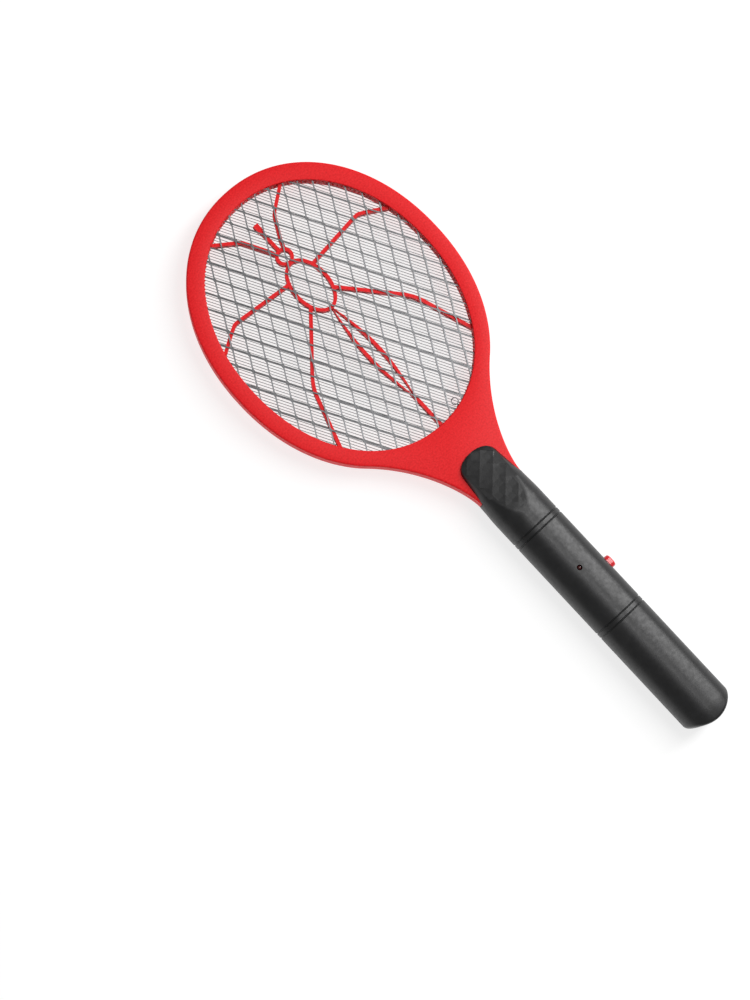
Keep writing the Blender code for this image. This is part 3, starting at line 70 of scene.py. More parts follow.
# ---------------------------------------------------------------- sizes read from the frame
MIDDLE = (low("handle_rear").z + high("handle_front").z) / 2
HALF_DEPTH = high("handle_front").z - MIDDLE
HALF_WIDTH = high("handle_front").x
TONGUE_Y = high("handle_front").y
BUTT_Y = low("handle_front").y
LOWER_RING_Y = low("handle_rear").y
BOARD_BELOW_RING = 5.8 * MM
UPPER_RING_Y = high("circuit_board").y + BOARD_BELOW_RING
STUB_LENGTH = 26.5 * MM            # neck inside the handle
SHOULDER_Y = low("frame_front").y + STUB_LENGTH
FRAME_HALF = high("frame_front").z - MIDDLE
HEAD_HALF_WIDTH = high("frame_front").x
HEAD_TOP_Y = high("frame_front").y
GRID_TOP = high("grid_front").z - MIDDLE
GRID_SHEET = high("grid_front").z - low("grid_front").z
SPACER_TOP = high("rib_spacer_front").z - MIDDLE
SPACER_LOW = low("rib_spacer_front").z - MIDDLE
BORDER = 3.0 * MM                  # reach of the grids under the frame's flange
POCKET = 3.6 * MM                  # reach of the frame's pocket round them
OPENING_HALF_WIDTH = high("grid_front").x - BORDER
OPENING_HALF_LENGTH = (high("grid_front").y - low("grid_front").y) / 2 - BORDER
OPENING_Y = (high("grid_front").y + low("grid_front").y) / 2
OPENING_LOW_Y = OPENING_Y - OPENING_HALF_LENGTH
GAP = 0.3 * MM

# ---------------------------------------------------------------- head
OUTLINE_POWER = 2.1
OPENING_POWER = 2.08
RIM_BOTTOM = 8.8 * MM
FLANGE = 2.0 * MM
NECK_WIDTH = 32.6 * MM
NECK_LEAVES = radians(53)
NECK_PULL_RIM = 35.6 * MM
NECK_PULL_SHOULDER = 9.0 * MM
STUB_WIDTH = 25.2 * MM
OUTER_FILLET = 1.3 * MM
INNER_FILLET = 0.6 * MM
SEAM = 0.35 * MM
CELL_WIDTH = 10.5 * MM
CELL_LENGTH = 19.3 * MM
STRAND = 0.80 * MM
STRAND_TILT = radians(7)
MESH_REACH = 2.4 * MM              # of the strands under the flange
BOND = 1.0 * MM                   # half-length of a knot of the expanded metal
WIRE_PITCH = 1.7 * MM
WIRE_RADIUS = 0.20 * MM
WIRE_SHORTEST = 18.0 * MM
WIRE_ANGLE = radians(119)
REAR_SHIFT = (1.3 * MM, 1.1 * MM)  # the rear sheet's cells against the front sheet's
RIB_WIDTH = 2.2 * MM
RIB_END = 1.6 * MM                 # how far a rib runs on into the ring
HEAD_CENTRE = (0.0, 0.541)
HEAD_RADIUS = 4.7 * MM
BODY_CENTRE = (0.0, 0.280)
BODY_HALF_WIDTH = 11.2 * MM
BODY_HALF_LENGTH = 18.5 * MM
PROBOSCIS = ((0.0, 0.591), (0.0, 0.828))
PROBOSCIS_TIP = ((0.0, 0.774), (0.0, 0.831))
PROBOSCIS_TIP_WIDTH = 3.4 * MM
ANTENNA = ((0.050, 0.591), (0.075, 0.643), (0.188, 0.803), (0.383, 0.913))
UPPER_LEG = ((0.139, 0.381), (0.710, 0.428), (0.807, 0.388), (0.933, 0.328))
LOWER_LEG = ((0.139, 0.166), (0.592, -0.234), (0.766, -0.645))
TAIL = (0.086, -0.749)
TAIL_HALF_WIDTH = 4.3 * MM
TOOTH_PITCH = 2.8 * MM
TOOTH_HALF_WIDTH = 0.45 * MM
TOOTH_DEPTH = 2.6 * MM             # into the rim
TOOTH_OUT = 0.5 * MM               # into the opening

# ---------------------------------------------------------------- handle
HANDLE_FLAT = 2.0 * MM
HANDLE_POWER = 2.15
WALL = 2.0 * MM
TONGUE_LENGTH = TONGUE_Y - SHOULDER_Y
TONGUE_FOOT = 33.0 * MM
TONGUE_WIDTH = 27.2 * MM
TIP_LENGTH = 9.0 * MM
TIP_POWER = 2.3
TIP_END = 0.98
FLARE_LENGTH = 6.0 * MM
TONGUE_RISE = 8.2 * MM
SHOULDER_WIDTH = 33.8 * MM
PANEL_LENGTH = 45.8 * MM
PANEL_END_Y = TONGUE_Y - PANEL_LENGTH
TAPER_LENGTH = 16.0 * MM
BUTT_BULGE = 8.0 * MM
BUTT_FILLET = 1.8 * MM
CAVITY_FILLET = 0.5 * MM
RING_SPACING = 3.6 * MM
RING_WIDTH = 1.1 * MM
RING_DEPTH = 0.45 * MM
RELIEF_PITCH = 5.6 * MM
RELIEF_ROOT = 0.7 * MM             # thickness of the relief's plate below the face
RELIEF_LIFT = 0.05 * MM            # keeps the plate clear of the face, and its rim under it
SCREW_ROOM = 3.1 * MM
RELIEF_HEIGHT = 0.14 * MM
CROWN = 1.1 * MM                  # the tongue's face across its tip

# ---------------------------------------------------------------- small pieces
FAR = 0.1                          # beyond the object, for cutting right through
BUTTON_LENGTH = 8.2 * MM
BUTTON_HEIGHT = 7.0 * MM
BUTTON_CORNER = 2.6 * MM
BUTTON_FILLET = 1.4 * MM
LED_HOLE_RADIUS = 1.75 * MM
LAMP_RADIUS = 1.35 * MM
LAMP_DOME = 0.8 * MM
SCREW_HEAD_HEIGHT = 1.3 * MM
SCREW_SHANK_RADIUS = 1.3 * MM
THREAD_PITCH = 1.1 * MM
CROSS_RECESS = (0.75 * MM, 3.2 * MM)
RECESS_PLAY = 0.35 * MM            # round a screw's head
BOSS_RADIUS = 4.0 * MM
BOSS_MEETS = 6.0 * MM
GRIP_FROM_BUTT = 16.3 * MM
GRIP_LENGTH = 8.3 * MM
RIDGE_WIDTH = 1.2 * MM
RIDGE_LENGTH = 5.4 * MM
RIDGE_PITCH = 2.6 * MM
CELL_WALL = 1.5 * MM
CELL_WALL_DROP = 8.0 * MM
CELL_NUB = 1.3 * MM
POST_HALF_WIDTH = 3.5 * MM
POST_LOW = -5.7 * MM
POST_TOP = 13.5 * MM
SLOT_HALF_WIDTH = 1.6 * MM
SLOT_TOP = -2.0 * MM
SPRING_WIRE_RADIUS = 0.4 * MM
SPRING_NARROWS = 1.9 * MM
SPRING_TURNS = 3


# ================================================================ outlines
def ccw(points):
    area = sum(a[0] * b[1] - b[0] * a[1] for a, b in zip(points, points[1:] + points[:1]))
    return list(points) if area > 0 else list(reversed(points))


def ellipse(centre, half_width, half_length, sides, power=2.0, start=0.0, sweep=2 * pi):
    count = sides if sweep >= 2 * pi else sides + 1
    points = []
    for i in range(count):
        c = cos(start + sweep * i / sides)
        s = sin(start + sweep * i / sides)
        x = abs(c) ** (2 / power) * (1 if c >= 0 else -1)
        y = abs(s) ** (2 / power) * (1 if s >= 0 else -1)
        points.append((centre[0] + half_width * x, centre[1] + half_length * y))
    return points


def rounded_rectangle(width, height, corner, steps=6):
    points = []
    for quarter in range(4):
        sign_x = 1 if quarter in (0, 3) else -1
        sign_y = 1 if quarter in (0, 1) else -1
        centre = (sign_x * (width / 2 - corner), sign_y * (height / 2 - corner))
        points += ellipse(centre, corner, corner, steps, start=quarter * pi / 2, sweep=pi / 2)
    return points


def strip(points, width):
    """A band of even width along a broken line."""
    line = [Vector(p) for p in points]
    left, right = [], []
    for i, point in enumerate(line):
        before = (line[i] - line[i - 1]).normalized() if i else (line[1] - line[0]).normalized()
        after = (line[i + 1] - line[i]).normalized() if i + 1 < len(line) else before
        along = (before + after).normalized()
        side = Vector((-along.y, along.x)) * (width / 2 / max(along.dot(before), 0.5))
        left.append(tuple(point + side))
        right.append(tuple(point - side))
    return ccw(left + right[::-1])


def bezier(start, pull_start, pull_end, end, steps):
    points = []
    for i in range(1, steps + 1):
        t = i / steps
        weights = ((1 - t) ** 3, 3 * t * (1 - t) ** 2, 3 * t * t * (1 - t), t ** 3)
        anchors = (start, pull_start, pull_end, end)
        points.append(tuple(sum(w * p[k] for w, p in zip(weights, anchors)) for k in (0, 1)))
    return points


def inset_by(points, distance):
    """An anticlockwise outline moved inward, corner by corner."""
    moved = []
    count = len(points)
    for i in range(count):
        a, b, c = Vector(points[i - 1]), Vector(points[i]), Vector(points[(i + 1) % count])
        first, second = (b - a).normalized(), (c - b).normalized()
        along = (first + second).normalized()
        normal = Vector((-along.y, along.x))
        moved.append(tuple(b + normal * distance / max(along.dot(first), 0.6)))
    return moved


# ================================================================ meshes
def new_piece(name, vertices, faces, smooth=35.0):
    """A mesh object, lifted to the middle plane, with its faces turned outward."""
    mesh = bpy.data.meshes.new(name)
    mesh.from_pydata([(v[0], v[1], v[2] + MIDDLE) for v in vertices], [], faces)
    shape = bmesh.new()
    shape.from_mesh(mesh)
    bmesh.ops.recalc_face_normals(shape, faces=shape.faces)
    shape.to_mesh(mesh)
    shape.free()
    mesh.shade_smooth()
    mesh.set_sharp_from_angle(angle=radians(smooth))
    obj = bpy.data.objects.new(name, mesh)
    bpy.context.scene.collection.objects.link(obj)
    return obj


def loft(name, rings, smooth=35.0):
    """A solid skinned over rings of equal length, closed by its first and last ring."""
    count = len(rings[0])
    vertices = [point for ring in rings for point in ring]
    faces = [list(range(count)), [len(vertices) - 1 - i for i in range(count)]]
    for k in range(len(rings) - 1):
        for i in range(count):
            j = (i + 1) % count
            faces.append([k * count + i, k * count + j, (k + 1) * count + j, (k + 1) * count + i])
    return new_piece(name, vertices, faces, smooth)


def prism(name, outline, first, last, axis="Z"):
    place = {"Z": lambda p, h: (p[0], p[1], h), "Y": lambda p, h: (p[0], h, p[1]),
             "X": lambda p, h: (h, p[0], p[1])}[axis]
    return loft(name, [[place(p, h) for p in outline] for h in (first, last)])


def block(name, first, last):
    outline = [(first[0], first[1]), (last[0], first[1]), (last[0], last[1]), (first[0], last[1])]
    return prism(name, outline, first[2], last[2])


def cylinder(name, centre, radius, first, last, axis="Z", sides=40):
    return prism(name, ellipse(centre, radius, radius, sides), first, last, axis)


def turned(name, profile, centre, axis="Z", sides=40, smooth=35.0):
    """A solid of revolution from (radius, height) pairs about an axis through a centre."""
    rings = []
    for radius, height in profile:
        ring = []
        for x, y in ellipse((0, 0), radius, radius, sides):
            offset = {"Z": (x, y, height), "Y": (x, height, y), "X": (height, x, y)}[axis]
            ring.append(tuple(Vector(centre) + Vector(offset)))
        rings.append(ring)
    return loft(name, rings, smooth)


def cut(target, tool, operation="DIFFERENCE"):
    """Cuts a piece with a tool, or joins it, and removes the tool."""
    modifier = target.modifiers.new("step", "BOOLEAN")
    modifier.operation = operation
    modifier.solver = "EXACT"
    modifier.object = tool
    graph = bpy.context.evaluated_depsgraph_get()
    result = bpy.data.meshes.new_from_object(target.evaluated_get(graph))
    target.modifiers.clear()
    target.data = result
    bpy.data.objects.remove(tool)
    target.data.shade_smooth()
    target.data.set_sharp_from_angle(angle=radians(35))


def triangulated(layers):
    """Corners and triangles of outlines painted in order, each adding or removing its area."""
    points, faces, adds = [], [], []
    for outline, added in layers:
        faces.append(list(range(len(points), len(points) + len(outline))))
        points += [Vector(p) for p in ccw(outline)]
        adds.append(added)
    found = delaunay_2d_cdt(points, [], faces, 1, 1e-7)
    kept = [t for t, source in zip(found[2], found[5]) if source and adds[max(source)]]
    used = sorted({i for t in kept for i in t})
    number = {old: new for new, old in enumerate(used)}
    return [tuple(found[0][i]) for i in used], [[number[i] for i in t] for t in kept]


def slab(name, layers, bottom, top):
    """A closed sheet between two height functions of (x, y)."""
    corners, triangles = triangulated(layers)
    count = len(corners)
    vertices = [(x, y, bottom(x, y)) for x, y in corners] + [(x, y, top(x, y)) for x, y in corners]
    faces = [t[::-1] for t in triangles] + [[i + count for i in t] for t in triangles]
    edges = {(t[k], t[(k + 1) % 3]) for t in triangles for k in range(3)}
    faces += [[a, b, b + count, a + count] for a, b in sorted(edges) if (b, a) not in edges]
    return new_piece(name, vertices, faces)


def soften(obj, width, segments=2):
    """Merges flat triangles and rounds the sharp edges of a flat piece."""
    shape = bmesh.new()
    shape.from_mesh(obj.data)
    bmesh.ops.dissolve_limit(shape, angle_limit=radians(1), verts=shape.verts, edges=shape.edges)
    sharp = [e for e in shape.edges if len(e.link_faces) == 2 and e.calc_face_angle() > radians(60)
             and abs(e.verts[0].co.z - e.verts[1].co.z) < 1e-6]
    bmesh.ops.bevel(shape, geom=sharp, offset=width, segments=segments, profile=0.5, affect="EDGES",
                    clamp_overlap=True)
    shape.to_mesh(obj.data)
    shape.free()
    obj.data.shade_smooth()
    obj.data.set_sharp_from_angle(angle=radians(40))


# ================================================================ materials
class Shader:
    """A Principled material and the few node patterns that the finishes below share."""

    def __init__(self, name, colour, roughness, metallic=0.0):
        self.material = bpy.data.materials.new(name)
        self.material.use_nodes = True
        self.tree = self.material.node_tree
        self.bsdf = self.tree.nodes["Principled BSDF"]
        self.bsdf.inputs["Base Color"].default_value = (*colour, 1.0)
        self.bsdf.inputs["Roughness"].default_value = roughness
        self.bsdf.inputs["Metallic"].default_value = metallic
        self.place = self.tree.nodes.new("ShaderNodeTexCoord").outputs["Object"]

    def noise(self, size, detail=3.0, stretch=None):
        """Noise whose features are about size metres across."""
        node = self.tree.nodes.new("ShaderNodeTexNoise")
        node.inputs["Scale"].default_value = 1.0 / size
        node.inputs["Detail"].default_value = detail
        self.tree.links.new(self.stretched(stretch), node.inputs["Vector"])
        return node.outputs["Fac"]

    def cells(self, size):
        node = self.tree.nodes.new("ShaderNodeTexVoronoi")
        node.feature = "SMOOTH_F1"
        node.inputs["Scale"].default_value = 1.0 / size
        self.tree.links.new(self.place, node.inputs["Vector"])
        return node.outputs["Distance"]

    def stretched(self, stretch):
        if stretch is None:
            return self.place
        node = self.tree.nodes.new("ShaderNodeMapping")
        node.inputs["Scale"].default_value = stretch
        self.tree.links.new(self.place, node.inputs["Vector"])
        return node.outputs["Vector"]

    def ramp(self, fac, stops):
        """A colour ramp from (position, colour) stops."""
        node = self.tree.nodes.new("ShaderNodeValToRGB")
        elements = node.color_ramp.elements
        while len(elements) < len(stops):
            elements.new(0.5)
        for element, (position, colour) in zip(elements, stops):
            element.position = position
            element.color = (*colour, 1.0)
        self.tree.links.new(fac, node.inputs["Fac"])
        return node.outputs["Color"]

    def colour_from(self, fac, stops):
        self.tree.links.new(self.ramp(fac, stops), self.bsdf.inputs["Base Color"])

    def roughness_from(self, fac, least, most):
        node = self.tree.nodes.new("ShaderNodeMapRange")
        node.inputs["From Min"].default_value = 0.3
        node.inputs["From Max"].default_value = 0.7
        node.inputs["To Min"].default_value = least
        node.inputs["To Max"].default_value = most
        self.tree.links.new(fac, node.inputs["Value"])
        self.tree.links.new(node.outputs["Result"], self.bsdf.inputs["Roughness"])

    def bump(self, height, depth, strength=1.0):
        """Chains a bump of the given depth in metres onto the shader's normal."""
        node = self.tree.nodes.new("ShaderNodeBump")
        node.inputs["Strength"].default_value = strength
        node.inputs["Distance"].default_value = depth
        self.tree.links.new(height, node.inputs["Height"])
        normal = self.bsdf.inputs["Normal"]
        if normal.is_linked:
            self.tree.links.new(normal.links[0].from_socket, node.inputs["Normal"])
        self.tree.links.new(node.outputs["Normal"], normal)

    def set(self, **values):
        for name, value in values.items():
            self.bsdf.inputs[name.replace("_", " ")].default_value = value
        return self


def red_plastic():
    """Moulded ABS with a fine leather grain."""
    shader = Shader("red_plastic", (0.88, 0.007, 0.012), 0.42)
    grain = shader.noise(1.1 * MM, 4.0)
    shader.colour_from(grain, ((0.32, (0.68, 0.006, 0.009)), (0.52, (0.80, 0.010, 0.014)),
                               (0.72, (0.87, 0.018, 0.022))))
    shader.set(Specular_IOR_Level=0.2)
    shader.roughness_from(shader.noise(0.6 * MM), 0.36, 0.56)
    shader.bump(shader.cells(0.9 * MM), 0.07 * MM, 0.6)
    shader.bump(shader.noise(0.45 * MM, 2.0), 0.03 * MM, 0.6)
    return shader.material


def black_plastic():
    """Satin black ABS with a fine spark grain and slight unevenness."""
    shader = Shader("black_plastic", (0.020, 0.020, 0.021), 0.38)
    shader.colour_from(shader.noise(7.0 * MM, 5.0),
                       ((0.35, (0.004, 0.004, 0.0045)), (0.70, (0.009, 0.009, 0.0095))))
    shader.roughness_from(shader.noise(2.5 * MM, 5.0), 0.34, 0.46)
    shader.bump(shader.noise(2.2 * MM, 3.0), 0.035 * MM, 0.5)
    shader.bump(shader.cells(0.5 * MM), 0.018 * MM, 0.5)
    return shader.material


def button_plastic():
    shader = Shader("button_plastic", (0.70, 0.018, 0.028), 0.25)
    shader.colour_from(shader.noise(2.0 * MM), ((0.3, (0.62, 0.014, 0.022)), (0.7, (0.76, 0.024, 0.034))))
    shader.bump(shader.noise(0.5 * MM), 0.008 * MM, 0.4)
    return shader.set(Coat_Weight=0.3, Coat_Roughness=0.15).material


def bright_metal(name, colour, roughness, scratch=(1, 12, 1)):
    """Drawn or rolled metal with fine marks along one direction."""
    shader = Shader(name, colour, roughness, 1.0)
    darker = tuple(c * 0.82 for c in colour)
    shader.colour_from(shader.noise(1.4 * MM, 3.0), ((0.3, darker), (0.65, colour)))
    shader.roughness_from(shader.noise(0.5 * MM, 2.0, scratch), roughness * 0.8, min(roughness * 1.4, 1.0))
    shader.bump(shader.noise(0.4 * MM, 2.0, scratch), 0.01 * MM, 0.4)
    return shader.material


def plain(name, light, dark, roughness, size, depth):
    """Small parts: two close tones, uneven gloss and a little texture."""
    shader = Shader(name, light, roughness)
    shader.colour_from(shader.noise(size, 3.0), ((0.35, dark), (0.65, light)))
    shader.roughness_from(shader.noise(size / 2), roughness * 0.85, min(1.0, roughness * 1.2))
    shader.bump(shader.noise(size / 3, 2.0), depth, 0.5)
    return shader.material


def led_lens():
    """A deep red lens, unlit."""
    shader = Shader("led_lens", (0.06, 0.008, 0.008), 0.12)
    shader.colour_from(shader.noise(1.0 * MM), ((0.3, (0.045, 0.006, 0.006)), (0.7, (0.075, 0.011, 0.010))))
    return shader.set(Transmission_Weight=0.2, IOR=1.5).material


def board_laminate():
    """Green solder mask with faint copper tracks under it."""
    shader = Shader("board_laminate", (0.03, 0.18, 0.07), 0.35)
    shader.colour_from(shader.cells(3.2 * MM), ((0.25, (0.05, 0.26, 0.10)), (0.33, (0.02, 0.13, 0.05))))
    shader.bump(shader.noise(0.5 * MM), 0.01 * MM, 0.4)
    return shader.material


def winding():
    """Yellow tape over copper turns, with the turns showing as fine ridges."""
    shader = Shader("winding", (0.70, 0.45, 0.10), 0.45)
    turns = (1, 6, 1)
    shader.colour_from(shader.noise(0.5 * MM, 2.0, turns),
                       ((0.35, (0.55, 0.33, 0.06)), (0.65, (0.75, 0.52, 0.14))))
    shader.bump(shader.noise(0.5 * MM, 1.0, turns), 0.06 * MM, 0.6)
    return shader.material


def cell_jacket():
    """A plain dark jacket with a copper-coloured band at the nub's end."""
    shader = Shader("cell_jacket", (0.03, 0.03, 0.035), 0.28, 0.35)
    shader.colour_from(shader.noise(1.5 * MM), ((0.3, (0.022, 0.024, 0.030)), (0.7, (0.034, 0.036, 0.044))))
    shader.bump(shader.noise(1.0 * MM), 0.01 * MM, 0.3)
    return shader.set(Coat_Weight=0.4, Coat_Roughness=0.12).material


PLAIN_FINISHES = (                 # name, light and dark tone, roughness, size of the marks and their depth
    ("ferrite", (0.055, 0.055, 0.060), (0.030, 0.030, 0.033), 0.6, 1.2 * MM, 0.03 * MM),
    ("film_capacitor", (0.42, 0.09, 0.04), (0.34, 0.06, 0.03), 0.3, 2.0 * MM, 0.03 * MM),
    ("component_black", (0.035, 0.035, 0.037), (0.022, 0.022, 0.024), 0.4, 1.0 * MM, 0.01 * MM),
    ("resistor_body", (0.58, 0.45, 0.28), (0.48, 0.36, 0.21), 0.4, 1.0 * MM, 0.01 * MM),
    ("switch_nylon", (0.78, 0.76, 0.70), (0.70, 0.68, 0.61), 0.45, 1.0 * MM, 0.01 * MM),
    ("lead_red", (0.58, 0.03, 0.03), (0.46, 0.02, 0.02), 0.5, 1.5 * MM, 0.02 * MM),
    ("lead_black", (0.030, 0.030, 0.031), (0.018, 0.018, 0.019), 0.5, 1.5 * MM, 0.02 * MM),
)


def materials():
    finishes = {
        "red_plastic": red_plastic(),
        "black_plastic": black_plastic(),
        "button_plastic": button_plastic(),
        "grid_metal": bright_metal("grid_metal", (0.17, 0.17, 0.175), 0.36, (12, 1, 1)),
        "wire_metal": bright_metal("wire_metal", (0.16, 0.16, 0.165), 0.40, (12, 1, 1)),
        "screw_steel": bright_metal("screw_steel", (0.16, 0.16, 0.17), 0.34, (1, 1, 1)),
        "contact_metal": bright_metal("contact_metal", (0.80, 0.80, 0.82), 0.22, (1, 1, 8)),
        "led_lens": led_lens(),
        "board_laminate": board_laminate(),
        "winding": winding(),
        "cell_jacket": cell_jacket(),
    }
    for name, light, dark, roughness, size, depth in PLAIN_FINISHES:
        finishes[name] = plain(name, light, dark, roughness, size, depth)
    return finishes


FINISHES = materials()
SLOT_OF = {row["node"]: row["material_slot"] for row in frame["record"]["subparts"]}


def dress(obj, finish, body="racket", replaces=()):
    """Gives a piece its finish and its body, and hides the CAD nodes that it stands for."""
    obj.data.materials.clear()
    obj.data.materials.append(FINISHES[finish])
    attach(obj, body)
    if replaces:
        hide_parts(*replaces)
    return obj


def dress_cad_nodes():
    for name, obj in frame["nodes"].items():
        obj.data.materials.clear()
        obj.data.materials.append(FINISHES[SLOT_OF[name]])
        obj.data.shade_smooth()
        obj.data.set_sharp_from_angle(angle=radians(35))


# ================================================================ head
def opening(grow=0.0, sides=200):
    half_width, half_length = OPENING_HALF_WIDTH + grow, OPENING_HALF_LENGTH + grow
    return ellipse((0.0, OPENING_Y), half_width, half_length, sides, OPENING_POWER)


def frame_outline():
    """Head and neck down to the end of the stub that the handle holds."""
    rim_low = OPENING_LOW_Y - RIM_BOTTOM
    centre = (0.0, (HEAD_TOP_Y + rim_low) / 2)
    rim = ellipse(centre, HEAD_HALF_WIDTH, (HEAD_TOP_Y - rim_low) / 2, 150, OUTLINE_POWER,
                  -NECK_LEAVES, pi + 2 * NECK_LEAVES)
    leaving = (Vector(rim[0]) - Vector(rim[1])).normalized() * NECK_PULL_RIM
    corner = (NECK_WIDTH / 2, SHOULDER_Y)
    pull_rim = (rim[0][0] + leaving.x, rim[0][1] + leaving.y)
    pull_corner = (corner[0], corner[1] + NECK_PULL_SHOULDER)
    right = bezier(rim[0], pull_rim, pull_corner, corner, 36)
    right += [(STUB_WIDTH / 2, SHOULDER_Y - 0.2 * MM), (STUB_WIDTH / 2, SHOULDER_Y - STUB_LENGTH)]
    left = [(-x, y) for x, y in right]
    return ccw(rim + left + right[::-1])


def frame_half(name, side, node):
    """A red half: seam, outer wall, rounded edge, face, rounded inner edge, flange and pocket."""
    outline = frame_outline()
    count = len(outline)
    outer = [(SEAM, GAP / 2), (0.0, GAP / 2 + SEAM), (0.0, FRAME_HALF - OUTER_FILLET)]
    outer += [(OUTER_FILLET * (1 - cos(a)), FRAME_HALF - OUTER_FILLET * (1 - sin(a)))
              for a in (radians(t) for t in (18, 36, 54, 72, 90))]
    flange_z = FRAME_HALF - FLANGE
    inner = [(POCKET, GAP / 2), (POCKET, flange_z), (0.0, flange_z), (0.0, FRAME_HALF - INNER_FILLET)]
    inner += [(INNER_FILLET * (1 - cos(a)), FRAME_HALF - INNER_FILLET * (1 - sin(a)))
              for a in (radians(t) for t in (30, 60, 90))]
    vertices, faces = [], []

    def add_loops(loops):
        starts = []
        for points, height in loops:
            starts.append(len(vertices))
            vertices.extend((x, y, side * height) for x, y in points)
        size = len(loops[0][0])
        for a, b in zip(starts, starts[1:]):
            faces.extend([a + i, a + (i + 1) % size, b + (i + 1) % size, b + i] for i in range(size))
        return starts[0], starts[-1]

    loops_out = [(inset_by(outline, inset), height) for inset, height in outer]
    loops_in = [(opening(grow), height) for grow, height in inner]
    out_first, out_last = add_loops(loops_out)
    in_first, in_last = add_loops(loops_in)
    for out_start, in_start, loop_out, loop_in in (
            (out_last, in_last, loops_out[-1][0], loops_in[-1][0]),
            (out_first, in_first, loops_out[0][0], loops_in[0][0])):
        points = [Vector(p) for p in loop_out] + [Vector(p) for p in loop_in]
        rings = [list(range(count)), list(range(count, len(points)))]
        found = delaunay_2d_cdt(points, [], rings, 1, 1e-9)
        for triangle, source in zip(found[2], found[5]):
            if source and max(source) == 0:
                originals = [found[3][i][0] for i in triangle]
                faces.append([out_start + i if i < count else in_start + i - count for i in originals])
    return dress(new_piece(name, vertices, faces), "red_plastic", replaces=(node,))


def inside_opening(x, y, grow):
    across = abs(x) / (OPENING_HALF_WIDTH + grow)
    along = abs(y - OPENING_Y) / (OPENING_HALF_LENGTH + grow)
    return across ** OPENING_POWER + along ** OPENING_POWER < 1


def strand_centre(x, y, lean, t):
    """A point on the strand that leaves the knot at (x, y) to one side, from knot (0) to knot (1)."""
    hold = BOND / (CELL_LENGTH / 2)
    share = min(max((t - hold) / (1 - 2 * hold), 0.0), 1.0)
    return Vector((x + lean * (STRAND / 2 + (CELL_WIDTH / 2 - STRAND) * share), y + CELL_LENGTH / 2 * t))


def expanded_metal(name, middle_z, node, flip, shift=(0.0, 0.0)):
    """Strands of the sheet between its knots, each twisted a little out of the plane."""
    vertices, faces = [], []
    across = int(OPENING_HALF_WIDTH / (CELL_WIDTH / 2)) + 3
    along = int(OPENING_HALF_LENGTH / (CELL_LENGTH / 2)) + 3
    half_sheet = GRID_SHEET * 0.42
    for row in range(-along, along):
        for column in range(-across, across + 1):
            if (row + column) % 2 == 0:
                continue
            x, y = shift[0] + column * CELL_WIDTH / 2, shift[1] + OPENING_Y + row * CELL_LENGTH / 2
            for lean in (-1, 1):
                inside = [t / 24 for t in range(25)
                          if inside_opening(*strand_centre(x, y, lean, t / 24), MESH_REACH)]
                if len(inside) < 3:
                    continue
                stations = [inside[0] + (inside[-1] - inside[0]) * k / 9 for k in range(10)]
                start = len(vertices)
                for t in stations:
                    centre = strand_centre(x, y, lean, t)
                    ahead = strand_centre(x, y, lean, min(t + 0.02, 1.0))
                    tangent = (ahead - strand_centre(x, y, lean, max(t - 0.02, 0.0))).normalized()
                    tilt = STRAND_TILT * sin(pi * t) * lean * flip
                    side = Vector((-tangent.y, tangent.x))
                    for a, b in ((1, 1), (1, -1), (-1, -1), (-1, 1)):
                        sideways = a * STRAND / 2 * cos(tilt) - b * half_sheet * sin(tilt)
                        rise = a * STRAND / 2 * sin(tilt) * 0.5 + b * half_sheet * cos(tilt)
                        vertices.append((centre.x + side.x * sideways, centre.y + side.y * sideways,
                                         middle_z + rise))
                for k in range(len(stations) - 1):
                    for i in range(4):
                        j = (i + 1) % 4
                        faces.append([start + 4 * k + i, start + 4 * k + j,
                                      start + 4 * k + 4 + j, start + 4 * k + 4 + i])
                last = start + 4 * (len(stations) - 1)
                faces.append([start, start + 1, start + 2, start + 3])
                faces.append([last + 3, last + 2, last + 1, last])
    return dress(new_piece(name, vertices, faces, 30.0), "grid_metal", replaces=(node,))


def wire_grid():
    """Straight fine wires side by side across the middle of the stack."""
    along = Vector((cos(WIRE_ANGLE), sin(WIRE_ANGLE)))
    across = Vector((along.y, -along.x))
    reach = BORDER - 0.4 * MM
    a, b = OPENING_HALF_WIDTH + reach, OPENING_HALF_LENGTH + reach
    vertices, faces = [], []
    sides = 6
    span = int(OPENING_HALF_LENGTH / WIRE_PITCH)
    for k in range(-span, span + 1):
        offset = across * WIRE_PITCH * k
        qa = (along.x / a) ** 2 + (along.y / b) ** 2
        qb = 2 * (offset.x * along.x / a ** 2 + offset.y * along.y / b ** 2)
        qc = (offset.x / a) ** 2 + (offset.y / b) ** 2 - 1
        under = qb * qb - 4 * qa * qc
        if under <= 0 or sqrt(under) / qa < WIRE_SHORTEST:
            continue
        ends = [(-qb + sign * sqrt(under)) / (2 * qa) for sign in (-1, 1)]
        start = len(vertices)
        for end in ends:
            point = Vector((0.0, OPENING_Y)) + offset + along * end
            for i in range(sides):
                turn = 2 * pi * i / sides
                vertices.append((point.x + across.x * WIRE_RADIUS * cos(turn),
                                 point.y + across.y * WIRE_RADIUS * cos(turn), WIRE_RADIUS * sin(turn)))
        for i in range(sides):
            j = (i + 1) % sides
            faces.append([start + i, start + j, start + sides + j, start + sides + i])
        faces.append([start + i for i in range(sides)])
        faces.append([start + 2 * sides - 1 - i for i in range(sides)])
    return dress(new_piece("wire_grid", vertices, faces), "wire_metal", replaces=("grid_center",))


def at_share(point, side=1):
    return (side * point[0] * OPENING_HALF_WIDTH, OPENING_Y + point[1] * OPENING_HALF_LENGTH)


